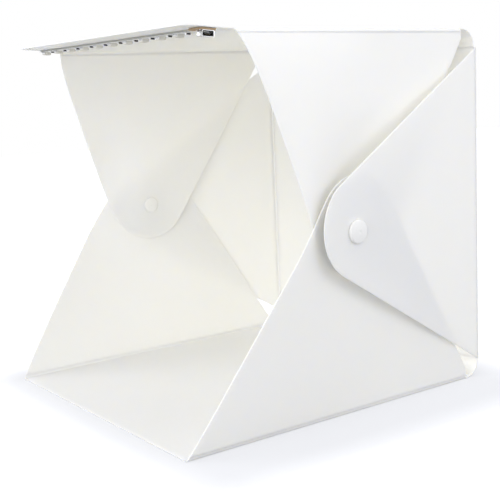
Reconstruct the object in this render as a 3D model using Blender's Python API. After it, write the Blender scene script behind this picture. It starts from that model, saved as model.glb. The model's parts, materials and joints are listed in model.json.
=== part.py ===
"""Folding photo light box: one die-cut sheet folded into an open cube, held by a snap on each side.

The frame has +X to the right, +Y to the rear and +Z up. Its origin is on the ground, in the middle of
the box's footprint. Each moving panel hangs from an empty that lies on its crease. Lengths are in metres.
"""

import math
from dataclasses import dataclass

import bmesh
import bpy
from mathutils import Matrix, Vector

# Driving sizes of the folded box
WIDTH = 0.226
DEPTH = 0.245
HEIGHT = 0.241
SHEET = 0.0008
BEND_RADIUS = 0.012
CLEARANCE = 0.0003
BEND_STEPS = 4
CORNER_STEPS = 8

# How far a layer's crease stands in or out from the base's edge, so that the three layers nest
UPPER_INSET = 0.0012
FLAP_OUTSET = 0.0012
LOWER_LEAN_DEG = 4.3
NEST_CLEARANCE = 0.0003

# Wings, triangles folded up from the base and down from the top, each with its round tip about the snap
WING_REAR_CLEARANCE = 0.0085
LOWER_TIP_RADIUS = 0.0305
LOWER_TIP_BEHIND_SNAP = 0.0038
LOWER_TIP_PAST_SNAP = 0.0042
UPPER_FRONT_SETBACK = 0.0478
UPPER_TIP_RADIUS = 0.0315
UPPER_TIP_BEHIND_SNAP = 0.0009
UPPER_TIP_SHORT_OF_SNAP = 0.0041

# Rear flap, folded forward from the back's side edge over both wings, with its nose about the snap
FLAP_END_MARGIN = 0.0006
FLAP_NOSE_RADIUS = 0.0322
FLAP_NOSE_BEHIND_SNAP = 0.0031
FLAP_NOSE_ABOVE_SNAP = 0.0019

# Lip of the top panel, which carries the light in front of the wings and tips up a little
LIP_LENGTH = 0.0328
LIP_CORNER_RADIUS = 0.008
LIP_TILT_DEG = 4.0

# Snap fasteners, two rows to a side
SNAP_FROM_REAR = 0.1252
SNAP_HEIGHT = 0.1192
SNAP_RADIUS = 0.0052
SNAP_HEAD_RADIUS = 0.003
SNAP_MOUTH_RADIUS = 0.0035
SNAP_FLANGE = 0.0006
POST_RADIUS = 0.0013
POST_HOLE_RADIUS = 0.0016
OUTER_CAP_RADIUS = 0.0073
OUTER_CAP_RISE = 0.0026
OUTER_CAP_RIM = 0.0008
INNER_CAP_RADIUS = 0.006
INNER_CAP_RISE = 0.0014
INNER_CAP_RIM = 0.0006
SNAP_SIDES = 18
CAP_SIDES = 28
DOME_STEPS = 6

# Light strip under the lip
LIGHT_BEHIND_LIP_EDGE = 0.019
LIGHT_PITCH = 0.020
STRIP_WIDTH = 0.008
STRIP_THICKNESS = 0.0002
STRIP_END_MARGIN = 0.002
STRIP_TAIL = 0.012
STRIP_CORNER_RADIUS = 0.0008
TAPE_INSET = 0.0006
TAPE_THICKNESS = 0.0004
CHIP_SIDE = 0.005
CHIP_HEIGHT = 0.0016
CHIP_CORNER = 0.0003
CHIP_WINDOW_MARGIN = 0.0008
CHIP_WINDOW_DEPTH = 0.0003
RESISTOR_LENGTH = 0.0032
RESISTOR_WIDTH = 0.0016
RESISTOR_HEIGHT = 0.0006
RESISTOR_TERMINAL = 0.0005
RESISTOR_TERMINAL_STEP = 0.00006

# Power inlet at the light strip's right end
BOARD_LENGTH = 0.0125
BOARD_WIDTH = 0.010
BOARD_THICKNESS = 0.0012
BOARD_EDGE_MARGIN = 0.0012
BOARD_AHEAD_OF_LIGHT = 0.003
SHELL_LENGTH = 0.0056
SHELL_WIDTH = 0.0078
SHELL_HEIGHT = 0.0032
SHELL_WALL = 0.0003
SHELL_CORNER_RADIUS = 0.0007
INSERT_BACK = 0.0015
TONGUE_LENGTH = 0.0032
TONGUE_WIDTH = 0.0044
TONGUE_THICKNESS = 0.0007

# Places that follow from the sizes above
HALF_WIDTH = WIDTH / 2
FRONT = -DEPTH / 2
REAR = DEPTH / 2
CREASE_SETBACK = SHEET + CLEARANCE
TOP_HALF_WIDTH = HALF_WIDTH - UPPER_INSET
BACK_HALF_WIDTH = HALF_WIDTH + FLAP_OUTSET
UPPER_CREASE_HEIGHT = HEIGHT - CREASE_SETBACK
UPPER_CREASE_X = TOP_HALF_WIDTH - SHEET
WING_CREASE_END = REAR - BEND_RADIUS - CREASE_SETBACK
WING_REAR_FOOT = REAR - WING_REAR_CLEARANCE
UPPER_FRONT_CORNER = FRONT + UPPER_FRONT_SETBACK
LIP_EDGE = UPPER_FRONT_CORNER - LIP_LENGTH
SNAP_Y = REAR - SNAP_FROM_REAR
TOP_UNDERSIDE = HEIGHT - SHEET
LIGHT_Y = LIP_EDGE + LIGHT_BEHIND_LIP_EDGE

SIDES = {"right": 1, "left": -1}


@dataclass
class Hinge:
    """A crease: its empty, and where that stands in the world."""

    empty: bpy.types.Object
    world: Matrix


@dataclass
class Layer:
    """A panel of a side wall: its crease, its outline along and away from the crease, and its outer face."""

    hinge: Hinge
    direction: int
    outer_face: float

    def point(self, along, away, out=0.0):
        """The place of a point of this panel, `out` beyond the outer face, in the crease's own axes."""
        return Vector((self.direction * along, away, self.outer_face + out))


def remove_everything():
    for leftover in list(bpy.data.objects):
        bpy.data.objects.remove(leftover)


def make_material(name, colour, roughness, metallic=0.0):
    material = bpy.data.materials.new(name)
    material.use_nodes = True
    shader = material.node_tree.nodes["Principled BSDF"]
    shader.inputs["Base Color"].default_value = (*colour, 1.0)
    shader.inputs["Roughness"].default_value = roughness
    shader.inputs["Metallic"].default_value = metallic
    return material


def make_hinge(name, world, parent=None):
    """An empty on a crease, carried by the crease that moves it."""
    empty = bpy.data.objects.new(name, None)
    bpy.context.collection.objects.link(empty)
    empty.parent = parent.empty if parent else None
    empty.matrix_local = parent.world.inverted() @ world if parent else world
    return Hinge(empty, world)


def make_object(name, bm, material, hinge, offset=None, smooth_deg=30):
    """A named object from a bmesh given in its hinge's own axes."""
    mesh = bpy.data.meshes.new(name)
    bmesh.ops.recalc_face_normals(bm, faces=bm.faces[:])
    bm.to_mesh(mesh)
    bm.free()
    mesh.shade_smooth()
    mesh.set_sharp_from_angle(angle=math.radians(smooth_deg))
    mesh.materials.append(material)
    made = bpy.data.objects.new(name, mesh)
    bpy.context.collection.objects.link(made)
    made.parent = hinge.empty
    made.matrix_local = offset or Matrix.Identity(4)
    return made


def rounded(corners):
    """The outline through corners given as (x, y, radius), each of them as an arc."""
    outline = []
    for index, (x, y, radius) in enumerate(corners):
        corner = Vector((x, y))
        back = (Vector(corners[index - 1][:2]) - corner).normalized()
        ahead = (Vector(corners[(index + 1) % len(corners)][:2]) - corner).normalized()
        half_angle = back.angle(ahead) / 2
        centre = corner + (back + ahead).normalized() * radius / math.sin(half_angle)
        start = corner + back * radius / math.tan(half_angle) - centre
        end = corner + ahead * radius / math.tan(half_angle) - centre
        turn = start.angle_signed(end)
        for step in range(CORNER_STEPS + 1):
            arm = start.copy()
            arm.rotate(Matrix.Rotation(-turn * step / CORNER_STEPS, 2))
            outline.append(centre + arm)
    return outline


def cut_from_sheet(outline, near, far):
    """A closed plate with this outline, between two depths along its own Z."""
    bm = bmesh.new()
    bm.faces.new([bm.verts.new((x, y, near)) for x, y in outline])
    grown = bmesh.ops.extrude_face_region(bm, geom=bm.faces[:])
    for element in grown["geom"]:
        if isinstance(element, bmesh.types.BMVert):
            element.co.z = far
    return bm


def turned(profile, sides):
    """A solid turned about Z from (radius, height) points, which close on themselves or on the axis."""
    bm = bmesh.new()
    ring = [bm.verts.new((radius, 0, height)) for radius, height in profile]
    edges = [bm.edges.new(pair) for pair in zip(ring, ring[1:])]
    if profile[0][0] > 0:
        edges.append(bm.edges.new((ring[-1], ring[0])))
    bmesh.ops.spin(
        bm,
        geom=ring + edges,
        cent=(0, 0, 0),
        axis=(0, 0, 1),
        angle=math.tau,
        steps=sides,
        use_merge=True,
    )
    bmesh.ops.remove_doubles(bm, verts=bm.verts[:], dist=SHEET / 100)
    return bm


def dome(radius, rise, rim, base):
    """Profile points from the crown of a shallow dome out to its rim and down to its underside."""
    sphere = (radius**2 + (rise - rim) ** 2) / (2 * (rise - rim))
    spread = math.asin(radius / sphere)
    crown = base + rise
    points = []
    for step in range(DOME_STEPS + 1):
        angle = spread * step / DOME_STEPS
        points.append((sphere * math.sin(angle), crown - sphere * (1 - math.cos(angle))))
    return points + [(radius, base)]


def cut_hole(obj, centre, radius, depth):
    """A round hole through a plate, bored along the plate's own Z."""
    cutter_mesh = bmesh.new()
    bmesh.ops.create_cone(
        cutter_mesh,
        cap_ends=True,
        segments=SNAP_SIDES,
        radius1=radius,
        radius2=radius,
        depth=depth,
    )
    mesh = bpy.data.meshes.new(obj.name + "_hole")
    cutter_mesh.to_mesh(mesh)
    cutter_mesh.free()
    cutter = bpy.data.objects.new(obj.name + "_hole", mesh)
    bpy.context.collection.objects.link(cutter)
    cutter.parent = obj.parent
    cutter.matrix_local = Matrix.Translation(centre)
    cutter.hide_render = True
    cutter.display_type = "WIRE"
    modifier = obj.modifiers.new("snap_hole", "BOOLEAN")
    modifier.object = cutter
    modifier.operation = "DIFFERENCE"


def bend_points(centre, start_deg, end_deg):
    """Pairs of outer and inner points round a bend, as (y, z), from one angle to another."""
    pairs = []
    for step in range(BEND_STEPS + 1):
        angle = math.radians(start_deg + (end_deg - start_deg) * step / BEND_STEPS)
        reach = Vector((math.cos(angle), math.sin(angle)))
        pairs.append((centre + reach * BEND_RADIUS, centre + reach * (BEND_RADIUS - SHEET)))
    return pairs


def bent_panel(pairs, half_widths):
    """A bent plate across the box: a strip of (outer, inner) points in Y and Z, as wide as given at each."""
    bm = bmesh.new()
    rows = []
    for (outer, inner), half_width in zip(pairs, half_widths):
        corners = [(-half_width, outer), (half_width, outer), (half_width, inner), (-half_width, inner)]
        rows.append([bm.verts.new((x, point.x, point.y)) for x, point in corners])
    for row, following in zip(rows, rows[1:]):
        for first, second in zip(range(4), (1, 2, 3, 0)):
            bm.faces.new((row[first], row[second], following[second], following[first]))
    bm.faces.new(rows[0])
    bm.faces.new(rows[-1])
    return bm


# Creases and panels

def split_angle():
    """How far each half of a bend stops short of the middle, in degrees, to leave the clearance."""
    return math.degrees(CLEARANCE / 2 / (BEND_RADIUS - SHEET))


def round_tip(left, right, centre, radius):
    """The arc round a centre that joins the straight edges from two corners below it, from right to left."""
    to_left = left - centre
    to_right = right - centre
    start = math.atan2(to_right.y, to_right.x) + math.acos(radius / to_right.length)
    end = math.atan2(to_left.y, to_left.x) - math.acos(radius / to_left.length)
    turn = (end - start) % math.tau
    arc = []
    for step in range(CORNER_STEPS + 1):
        angle = start + turn * step / CORNER_STEPS
        arc.append(centre + Vector((math.cos(angle), math.sin(angle))) * radius)
    return arc


def lower_tip():
    """Centre of the lower wing's round tip, as (y, away from the base)."""
    return Vector((SNAP_Y + LOWER_TIP_BEHIND_SNAP, SNAP_HEIGHT + LOWER_TIP_PAST_SNAP))


def upper_tip():
    """Centre of the upper wing's round tip, as (y, away from the top)."""
    return Vector((SNAP_Y + UPPER_TIP_BEHIND_SNAP, HEIGHT - SNAP_HEIGHT - UPPER_TIP_SHORT_OF_SNAP))


def flap_nose():
    """Centre of the flap's round nose, as (height, away from the back)."""
    return Vector((SNAP_HEIGHT + FLAP_NOSE_ABOVE_SNAP, SNAP_FROM_REAR - FLAP_NOSE_BEHIND_SNAP))


def wing_outline(front_y, centre, radius):
    """Outline of a wing as (y, away from its panel), less the strip taken up by the crease."""
    front_foot = Vector((front_y, 0))
    rear_foot = Vector((WING_REAR_FOOT, 0))
    tip = round_tip(front_foot, rear_foot, centre, radius)
    front = front_foot.lerp(tip[-1], CREASE_SETBACK / tip[-1].y)
    rear = rear_foot.lerp(tip[0], (WING_REAR_FOOT - WING_CREASE_END) / (WING_REAR_FOOT - tip[0].x))
    return [front, Vector((WING_CREASE_END, CREASE_SETBACK)), rear] + tip


def rear_shoulder():
    """The point where the lower wing's rear edge runs into its round tip, which the flap has to clear."""
    return round_tip(Vector((FRONT, 0)), Vector((WING_REAR_FOOT, 0)), lower_tip(), LOWER_TIP_RADIUS)[0]


def lower_lean():
    return math.radians(LOWER_LEAN_DEG)


def flap_lean():
    """The lean that lets the flap pass just outside the lower wing's rear shoulder."""
    y, z = rear_shoulder()
    reach = z * math.tan(lower_lean()) + SHEET + 2 * NEST_CLEARANCE - FLAP_OUTSET
    return math.atan(reach / (REAR - y))


def upper_lean():
    """The lean that keeps the upper wing's tip just inside the lower wing."""
    depth = upper_tip().y + UPPER_TIP_RADIUS
    lower_inner = HALF_WIDTH - SHEET + (HEIGHT - depth) * math.tan(lower_lean())
    room = lower_inner - NEST_CLEARANCE - TOP_HALF_WIDTH
    return math.atan(room / (depth - CREASE_SETBACK))


def lower_wing_layer(side, base):
    sign = SIDES[side]
    lean = lower_lean()
    along = Vector((0, sign, 0))
    away = Vector((sign * math.sin(lean), 0, math.cos(lean)))
    world = frame_of(Vector((sign * HALF_WIDTH, 0, 0)), along, away)
    return Layer(make_hinge(f"lower_crease_{side}", world, base), sign, 0.0)


def upper_wing_layer(side, top):
    sign = SIDES[side]
    lean = upper_lean()
    along = Vector((0, -sign, 0))
    away = Vector((sign * math.sin(lean), 0, -math.cos(lean)))
    origin = Vector((sign * UPPER_CREASE_X, 0, UPPER_CREASE_HEIGHT))
    world = frame_of(origin, along, away)
    return Layer(make_hinge(f"upper_crease_{side}", world, top), -sign, SHEET)


def flap_layer(side, back):
    sign = SIDES[side]
    lean = flap_lean()
    along = Vector((0, 0, sign))
    away = Vector((sign * math.sin(lean), -math.cos(lean), 0))
    world = frame_of(Vector((sign * BACK_HALF_WIDTH, REAR, 0)), along, away)
    return Layer(make_hinge(f"flap_crease_{side}", world, back), sign, 0.0)


def frame_of(origin, along, away):
    """A crease's axes: X along it, Y away over the panel, Z out of the panel's outer face."""
    out = along.cross(away)
    return Matrix.Translation(origin) @ Matrix((along, away, out)).transposed().to_4x4()


def add_plate(name, layer, outline, material, snap):
    """A side panel cut from the sheet, with the hole for its snap's post."""
    points = [(layer.direction * along, away) for along, away in outline]
    bm = cut_from_sheet(points, layer.outer_face, layer.outer_face - SHEET)
    plate = make_object(name, bm, material, layer.hinge)
    cut_hole(plate, layer.point(*snap), POST_HOLE_RADIUS, 4 * SHEET)


def lower_snap():
    """The snap's place on the lower wing, as (along, away from the crease)."""
    return SNAP_Y, SNAP_HEIGHT / math.cos(lower_lean())


def upper_snap():
    return SNAP_Y, (UPPER_CREASE_HEIGHT - SNAP_HEIGHT) / math.cos(upper_lean())


def flap_snap():
    return SNAP_HEIGHT, SNAP_FROM_REAR / math.cos(flap_lean())


def add_lower_wing(side, base, plastic):
    layer = lower_wing_layer(side, base)
    outline = wing_outline(FRONT, lower_tip(), LOWER_TIP_RADIUS)
    add_plate(f"lower_wing_{side}", layer, outline, plastic, lower_snap())
    return layer


def add_upper_wing(side, top, plastic):
    layer = upper_wing_layer(side, top)
    outline = wing_outline(UPPER_FRONT_CORNER, upper_tip(), UPPER_TIP_RADIUS)
    lowered = [(y, away - CREASE_SETBACK) for y, away in outline]
    add_plate(f"upper_wing_{side}", layer, lowered, plastic, upper_snap())
    return layer


def add_flap(side, back, plastic):
    layer = flap_layer(side, back)
    low = Vector((BEND_RADIUS + FLAP_END_MARGIN, CREASE_SETBACK))
    high = Vector((HEIGHT - BEND_RADIUS - FLAP_END_MARGIN, CREASE_SETBACK))
    outline = [low, high] + round_tip(low, high, flap_nose(), FLAP_NOSE_RADIUS)
    add_plate(f"rear_flap_{side}", layer, outline, plastic, flap_snap())
    return layer


def add_base_panel(hinge, plastic):
    """The floor, with the lower half of the bend at its rear."""
    front = [(Vector((FRONT, 0)), Vector((FRONT, SHEET)))]
    centre = Vector((REAR - BEND_RADIUS, BEND_RADIUS))
    pairs = front + bend_points(centre, -90, -45 - split_angle())
    bm = bent_panel(pairs, [HALF_WIDTH] * len(pairs))
    make_object("base_panel", bm, plastic, hinge)


def add_back_panel(hinge, plastic):
    """The rear wall, with half a bend at each end and a wider stretch that carries the flaps."""
    low_centre = Vector((REAR - BEND_RADIUS, BEND_RADIUS))
    high_centre = Vector((REAR - BEND_RADIUS, HEIGHT - BEND_RADIUS))
    low = bend_points(low_centre, -45 + split_angle(), 0)
    high = bend_points(high_centre, 0, 45 - split_angle())
    wide = []
    for height in (BEND_RADIUS + FLAP_END_MARGIN, HEIGHT - BEND_RADIUS - FLAP_END_MARGIN):
        wide.append((Vector((REAR, height)), Vector((REAR - SHEET, height))))
    pairs = low + wide + high
    low_widths = [HALF_WIDTH] * len(low)
    high_widths = [TOP_HALF_WIDTH] * len(high)
    bm = bent_panel(pairs, low_widths + [BACK_HALF_WIDTH] * len(wide) + high_widths)
    bmesh.ops.translate(bm, vec=(0, -REAR, 0), verts=bm.verts[:])
    make_object("back_panel", bm, plastic, hinge)


def in_top(x, y, z):
    """A point in the box's frame as the top panel's crease sees it: X right, Y rear from it, Z up from it."""
    return Vector((x, y - REAR, z - HEIGHT))


def lip_tilt():
    """The turn that tips the lip up about the line where it leaves the roof, in the top crease's axes."""
    foot = Matrix.Translation(in_top(0, UPPER_FRONT_CORNER, TOP_UNDERSIDE))
    return foot @ Matrix.Rotation(-math.radians(LIP_TILT_DEG), 4, "X") @ foot.inverted()


def add_top_panel(hinge, plastic):
    """The roof, with the upper half of the bend at its rear and the tipped lip with its round corners."""
    flat_end = REAR - BEND_RADIUS
    centre = Vector((flat_end, HEIGHT - BEND_RADIUS))
    bend = bend_points(centre, 90, 45 + split_angle())
    corner_start = LIP_EDGE + LIP_CORNER_RADIUS
    tilt = lip_tilt()
    pairs = []
    half_widths = []
    for step in range(CORNER_STEPS + 1):
        angle = math.radians(90) * step / CORNER_STEPS
        y = corner_start - LIP_CORNER_RADIUS * math.cos(angle)
        faces = [tilt @ in_top(0, y, z) for z in (HEIGHT, TOP_UNDERSIDE)]
        pairs.append([face.yz + Vector((REAR, HEIGHT)) for face in faces])
        half_widths.append(TOP_HALF_WIDTH - LIP_CORNER_RADIUS * (1 - math.sin(angle)))
    flat = [(Vector((UPPER_FRONT_CORNER, HEIGHT)), Vector((UPPER_FRONT_CORNER, TOP_UNDERSIDE)))] + bend
    bm = bent_panel(pairs + flat, half_widths + [TOP_HALF_WIDTH] * len(flat))
    bmesh.ops.translate(bm, vec=(0, -REAR, -HEIGHT), verts=bm.verts[:])
    make_object("top_panel", bm, plastic, hinge)


# Snap fasteners: a cap or stud with a post, and a ring that the post is riveted into

def ring_profile(height, mouth):
    """A flanged ring with the post's bore: a socket with a mouth, or a stud with a head."""
    if mouth:
        return [
            (POST_HOLE_RADIUS, CLEARANCE),
            (SNAP_RADIUS, CLEARANCE),
            (SNAP_RADIUS, height),
            (SNAP_MOUTH_RADIUS, height),
            (SNAP_MOUTH_RADIUS, CLEARANCE + SNAP_FLANGE),
            (POST_HOLE_RADIUS, CLEARANCE + SNAP_FLANGE),
        ]
    return [
        (POST_HOLE_RADIUS, CLEARANCE),
        (SNAP_RADIUS, CLEARANCE),
        (SNAP_RADIUS, CLEARANCE + SNAP_FLANGE),
        (SNAP_HEAD_RADIUS, CLEARANCE + SNAP_FLANGE),
        (SNAP_HEAD_RADIUS, height),
        (POST_HOLE_RADIUS, height),
    ]


def post_profile(post_length):
    """The underside of a piece with a post, from its rim's foot in to the post's end."""
    return [(POST_RADIUS, CLEARANCE), (POST_RADIUS, -post_length), (0, -post_length)]


def posted_stud_profile(height, post_length):
    """A stud whose own post goes through the sheet."""
    head = [
        (0, height),
        (SNAP_HEAD_RADIUS, height),
        (SNAP_HEAD_RADIUS, CLEARANCE + SNAP_FLANGE),
        (SNAP_RADIUS, CLEARANCE + SNAP_FLANGE),
        (SNAP_RADIUS, CLEARANCE),
    ]
    return head + post_profile(post_length)


def add_fastener(name, layer, place, profile, sides, material, inside=False):
    """A turned snap piece on a panel's outer face, or turned over on its inner face."""
    seat = Matrix.Translation(layer.point(*place))
    if inside:
        seat = Matrix.Translation(layer.point(*place, out=-SHEET)) @ Matrix.Rotation(math.pi, 4, "X")
    make_object(name, turned(profile, sides), material, layer.hinge, seat)


def snap_heights():
    """How tall the outer and the inner pair of snap halves may stand in the gaps between the layers."""
    flap_inner = BACK_HALF_WIDTH - SHEET + SNAP_FROM_REAR * math.tan(flap_lean())
    lower_outer = HALF_WIDTH + SNAP_HEIGHT * math.tan(lower_lean())
    upper_outer = TOP_HALF_WIDTH + (UPPER_CREASE_HEIGHT - SNAP_HEIGHT) * math.tan(upper_lean())
    outer_tilt = SNAP_RADIUS * math.sin(flap_lean()) + SNAP_HEAD_RADIUS * math.sin(lower_lean())
    inner_tilt = SNAP_RADIUS * math.sin(lower_lean()) + SNAP_HEAD_RADIUS * math.sin(upper_lean())
    outer_gap = flap_inner - lower_outer - outer_tilt - CLEARANCE
    inner_gap = lower_outer - SHEET - upper_outer - inner_tilt - CLEARANCE
    return outer_gap / 2, inner_gap / 2


def add_snaps(side, flap, lower, upper, plastic):
    """The row of six pieces that holds a side's three layers together."""
    outer_height, inner_height = snap_heights()
    through = SHEET + CLEARANCE + SNAP_FLANGE / 2
    cap = dome(OUTER_CAP_RADIUS, OUTER_CAP_RISE, OUTER_CAP_RIM, CLEARANCE) + post_profile(through)
    button = dome(INNER_CAP_RADIUS, INNER_CAP_RISE, INNER_CAP_RIM, CLEARANCE) + post_profile(through)
    stud = posted_stud_profile(outer_height, through)
    add_fastener(f"snap_cap_{side}", flap, flap_snap(), cap, CAP_SIDES, plastic)
    socket = ring_profile(outer_height, mouth=True)
    add_fastener(f"snap_flap_socket_{side}", flap, flap_snap(), socket, SNAP_SIDES, plastic, inside=True)
    add_fastener(f"snap_lower_stud_{side}", lower, lower_snap(), stud, SNAP_SIDES, plastic)
    socket = ring_profile(inner_height, mouth=True)
    add_fastener(f"snap_lower_socket_{side}", lower, lower_snap(), socket, SNAP_SIDES, plastic, inside=True)
    ring = ring_profile(inner_height, mouth=False)
    add_fastener(f"snap_upper_stud_{side}", upper, upper_snap(), ring, SNAP_SIDES, plastic)
    add_fastener(f"snap_inner_cap_{side}", upper, upper_snap(), button, CAP_SIDES, plastic, inside=True)


# Light strip and power inlet, given level in the top crease's axes and tipped up with the lip


def block(size, centre):
    bm = bmesh.new()
    bmesh.ops.create_cube(bm, size=1.0, matrix=Matrix.Translation(centre) @ Matrix.Diagonal((*size, 1)))
    return bm


def board_left():
    """Where the inlet's board starts, so that it ends at the lip's right edge."""
    return TOP_HALF_WIDTH - BOARD_EDGE_MARGIN - BOARD_LENGTH


def light_places():
    """The lamps' places across the box: as many as fit to the left of the inlet's board."""
    last_resistor = board_left() - CLEARANCE - STRIP_TAIL - RESISTOR_WIDTH / 2
    furthest_left = STRIP_END_MARGIN + CHIP_SIDE / 2 - TOP_HALF_WIDTH
    count = math.floor((last_resistor - furthest_left) / LIGHT_PITCH + 0.5)
    first = last_resistor - (count - 0.5) * LIGHT_PITCH
    return [first + index * LIGHT_PITCH for index in range(count)]


def add_light_strip(hinge, tape_material, strip_material):
    left = light_places()[0] - CHIP_SIDE / 2 - STRIP_END_MARGIN
    right = board_left() - CLEARANCE
    tape_top = TOP_UNDERSIDE - CLEARANCE
    strip_top = tape_top - TAPE_THICKNESS - CLEARANCE
    size = (right - left, STRIP_WIDTH)
    middle = (left + right) / 2
    tape = plate_under(size, TAPE_INSET, tape_top, TAPE_THICKNESS, middle)
    make_object("strip_adhesive", tape, tape_material, hinge, lip_tilt())
    strip = plate_under(size, 0, strip_top, STRIP_THICKNESS, middle)
    make_object("led_strip", strip, strip_material, hinge, lip_tilt())
    return strip_top - STRIP_THICKNESS - CLEARANCE


def plate_under(size, inset, top, thickness, middle):
    """A thin plate with small round corners, below a given height, centred on the light's row."""
    half_length = size[0] / 2 - inset
    half_width = size[1] / 2 - inset
    row_y = LIGHT_Y - REAR
    corners = []
    for x_sign, y_sign in ((-1, -1), (1, -1), (1, 1), (-1, 1)):
        corners.append((middle + x_sign * half_length, row_y + y_sign * half_width, STRIP_CORNER_RADIUS))
    return cut_from_sheet(rounded(corners), top - HEIGHT, top - thickness - HEIGHT)


def add_lights(hinge, seat, chip_material, resistor_material):
    """The lamps, with a resistor after each, all across the strip."""
    for number, x in enumerate(light_places(), start=1):
        place = lip_tilt() @ Matrix.Translation(in_top(x, LIGHT_Y, seat))
        make_object(f"led_chip_{number:02d}", chip_mesh(), chip_material, hinge, place)
        place = lip_tilt() @ Matrix.Translation(in_top(x + LIGHT_PITCH / 2, LIGHT_Y, seat))
        make_object(f"led_resistor_{number:02d}", resistor_mesh(), resistor_material, hinge, place)


def chip_mesh():
    """A square lamp that hangs down from its seat, with a shallow round-cornered window underneath."""
    bm = block((CHIP_SIDE, CHIP_SIDE, CHIP_HEIGHT), (0, 0, -CHIP_HEIGHT / 2))
    upright = [edge for edge in bm.edges if edge.verts[0].co.xy == edge.verts[1].co.xy]
    bmesh.ops.bevel(
        bm, geom=upright, offset=CHIP_CORNER, segments=1, profile=0.5, affect="EDGES", material=-1
    )
    bm.faces.ensure_lookup_table()
    underside = [min(bm.faces, key=lambda face: face.calc_center_median().z)]
    bmesh.ops.inset_region(bm, faces=underside, thickness=CHIP_WINDOW_MARGIN, depth=0)
    for vert in underside[0].verts:
        vert.co.z += CHIP_WINDOW_DEPTH
    return bm


def resistor_mesh():
    """A chip resistor laid across the strip, its two metal ends a little proud of its body."""
    body = RESISTOR_LENGTH - 2 * RESISTOR_TERMINAL
    bm = block((RESISTOR_WIDTH, body, RESISTOR_HEIGHT), (0, 0, -RESISTOR_HEIGHT / 2))
    proud = 2 * RESISTOR_TERMINAL_STEP
    scale = (1 + proud / RESISTOR_WIDTH, 1, 1 + proud / RESISTOR_HEIGHT)
    for direction in (-1, 1):
        end = next(face for face in bm.faces if face.normal.y * direction > 0.5)
        step_out(bm, end, scale, Vector((0, direction * RESISTOR_TERMINAL, 0)))
    return bm


def step_out(bm, face, scale, push):
    """Grows a narrower or wider block out of one flat end of a closed solid."""
    for step_scale, step_push in ((scale, Vector()), ((1, 1, 1), push)):
        grown = bmesh.ops.extrude_face_region(bm, geom=[face])["geom"]
        bm.faces.remove(face)
        face = next(element for element in grown if isinstance(element, bmesh.types.BMFace))
        about = Matrix.Translation(-face.calc_center_median())
        bmesh.ops.scale(bm, vec=step_scale, space=about, verts=face.verts[:])
        bmesh.ops.translate(bm, vec=step_push, verts=face.verts[:])


def add_inlet(hinge, board_material, shell_material, insert_material):
    """The board at the strip's right end, and the power socket under it, which opens to the right."""
    board_top = TOP_UNDERSIDE - CLEARANCE
    board_y = LIGHT_Y - BOARD_AHEAD_OF_LIGHT
    board_centre = in_top(board_left() + BOARD_LENGTH / 2, board_y, board_top - BOARD_THICKNESS / 2)
    board = block((BOARD_LENGTH, BOARD_WIDTH, BOARD_THICKNESS), board_centre)
    make_object("inlet_board", board, board_material, hinge, lip_tilt())
    shell_right = board_left() + BOARD_LENGTH
    shell_middle = board_top - BOARD_THICKNESS - CLEARANCE - SHELL_HEIGHT / 2
    seat = Matrix.Translation(in_top(shell_right, board_y, shell_middle))
    mouth = lip_tilt() @ seat @ Matrix.Rotation(math.pi / 2, 4, "Y")
    make_object("inlet_shell", shell_mesh(), shell_material, hinge, mouth)
    make_object("inlet_insert", insert_mesh(), insert_material, hinge, mouth)


def shell_outline(inset):
    """The socket's section in its own X, up and down, and Y, across, a wall further in if asked."""
    half_height = SHELL_HEIGHT / 2 - inset
    half_width = SHELL_WIDTH / 2 - inset
    radius = SHELL_CORNER_RADIUS - inset
    signs = ((-1, -1), (1, -1), (1, 1), (-1, 1))
    return rounded([(x * half_height, y * half_width, radius) for x, y in signs])


def shell_mesh():
    """A folded metal tube, open at both ends, that runs back from its mouth."""
    bm = bmesh.new()
    loops = []
    for inset, depth in ((0, 0), (0, -SHELL_LENGTH), (SHELL_WALL, -SHELL_LENGTH), (SHELL_WALL, 0)):
        loops.append([bm.verts.new((x, y, depth)) for x, y in shell_outline(inset)])
    for loop, following in zip(loops, loops[1:] + loops[:1]):
        for index in range(len(loop)):
            after = (index + 1) % len(loop)
            bm.faces.new((loop[index], loop[after], following[after], following[index]))
    return bm


def insert_mesh():
    """The moulded block that closes the back of the socket, with its contact tongue."""
    inset = SHELL_WALL + CLEARANCE
    bm = cut_from_sheet(shell_outline(inset), -SHELL_LENGTH, INSERT_BACK - SHELL_LENGTH)
    front = max(bm.faces, key=lambda face: face.calc_center_median().z)
    height = SHELL_HEIGHT - 2 * inset
    width = SHELL_WIDTH - 2 * inset
    scale = (TONGUE_THICKNESS / height, TONGUE_WIDTH / width, 1)
    step_out(bm, front, scale, Vector((0, 0, TONGUE_LENGTH)))
    return bm


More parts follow.
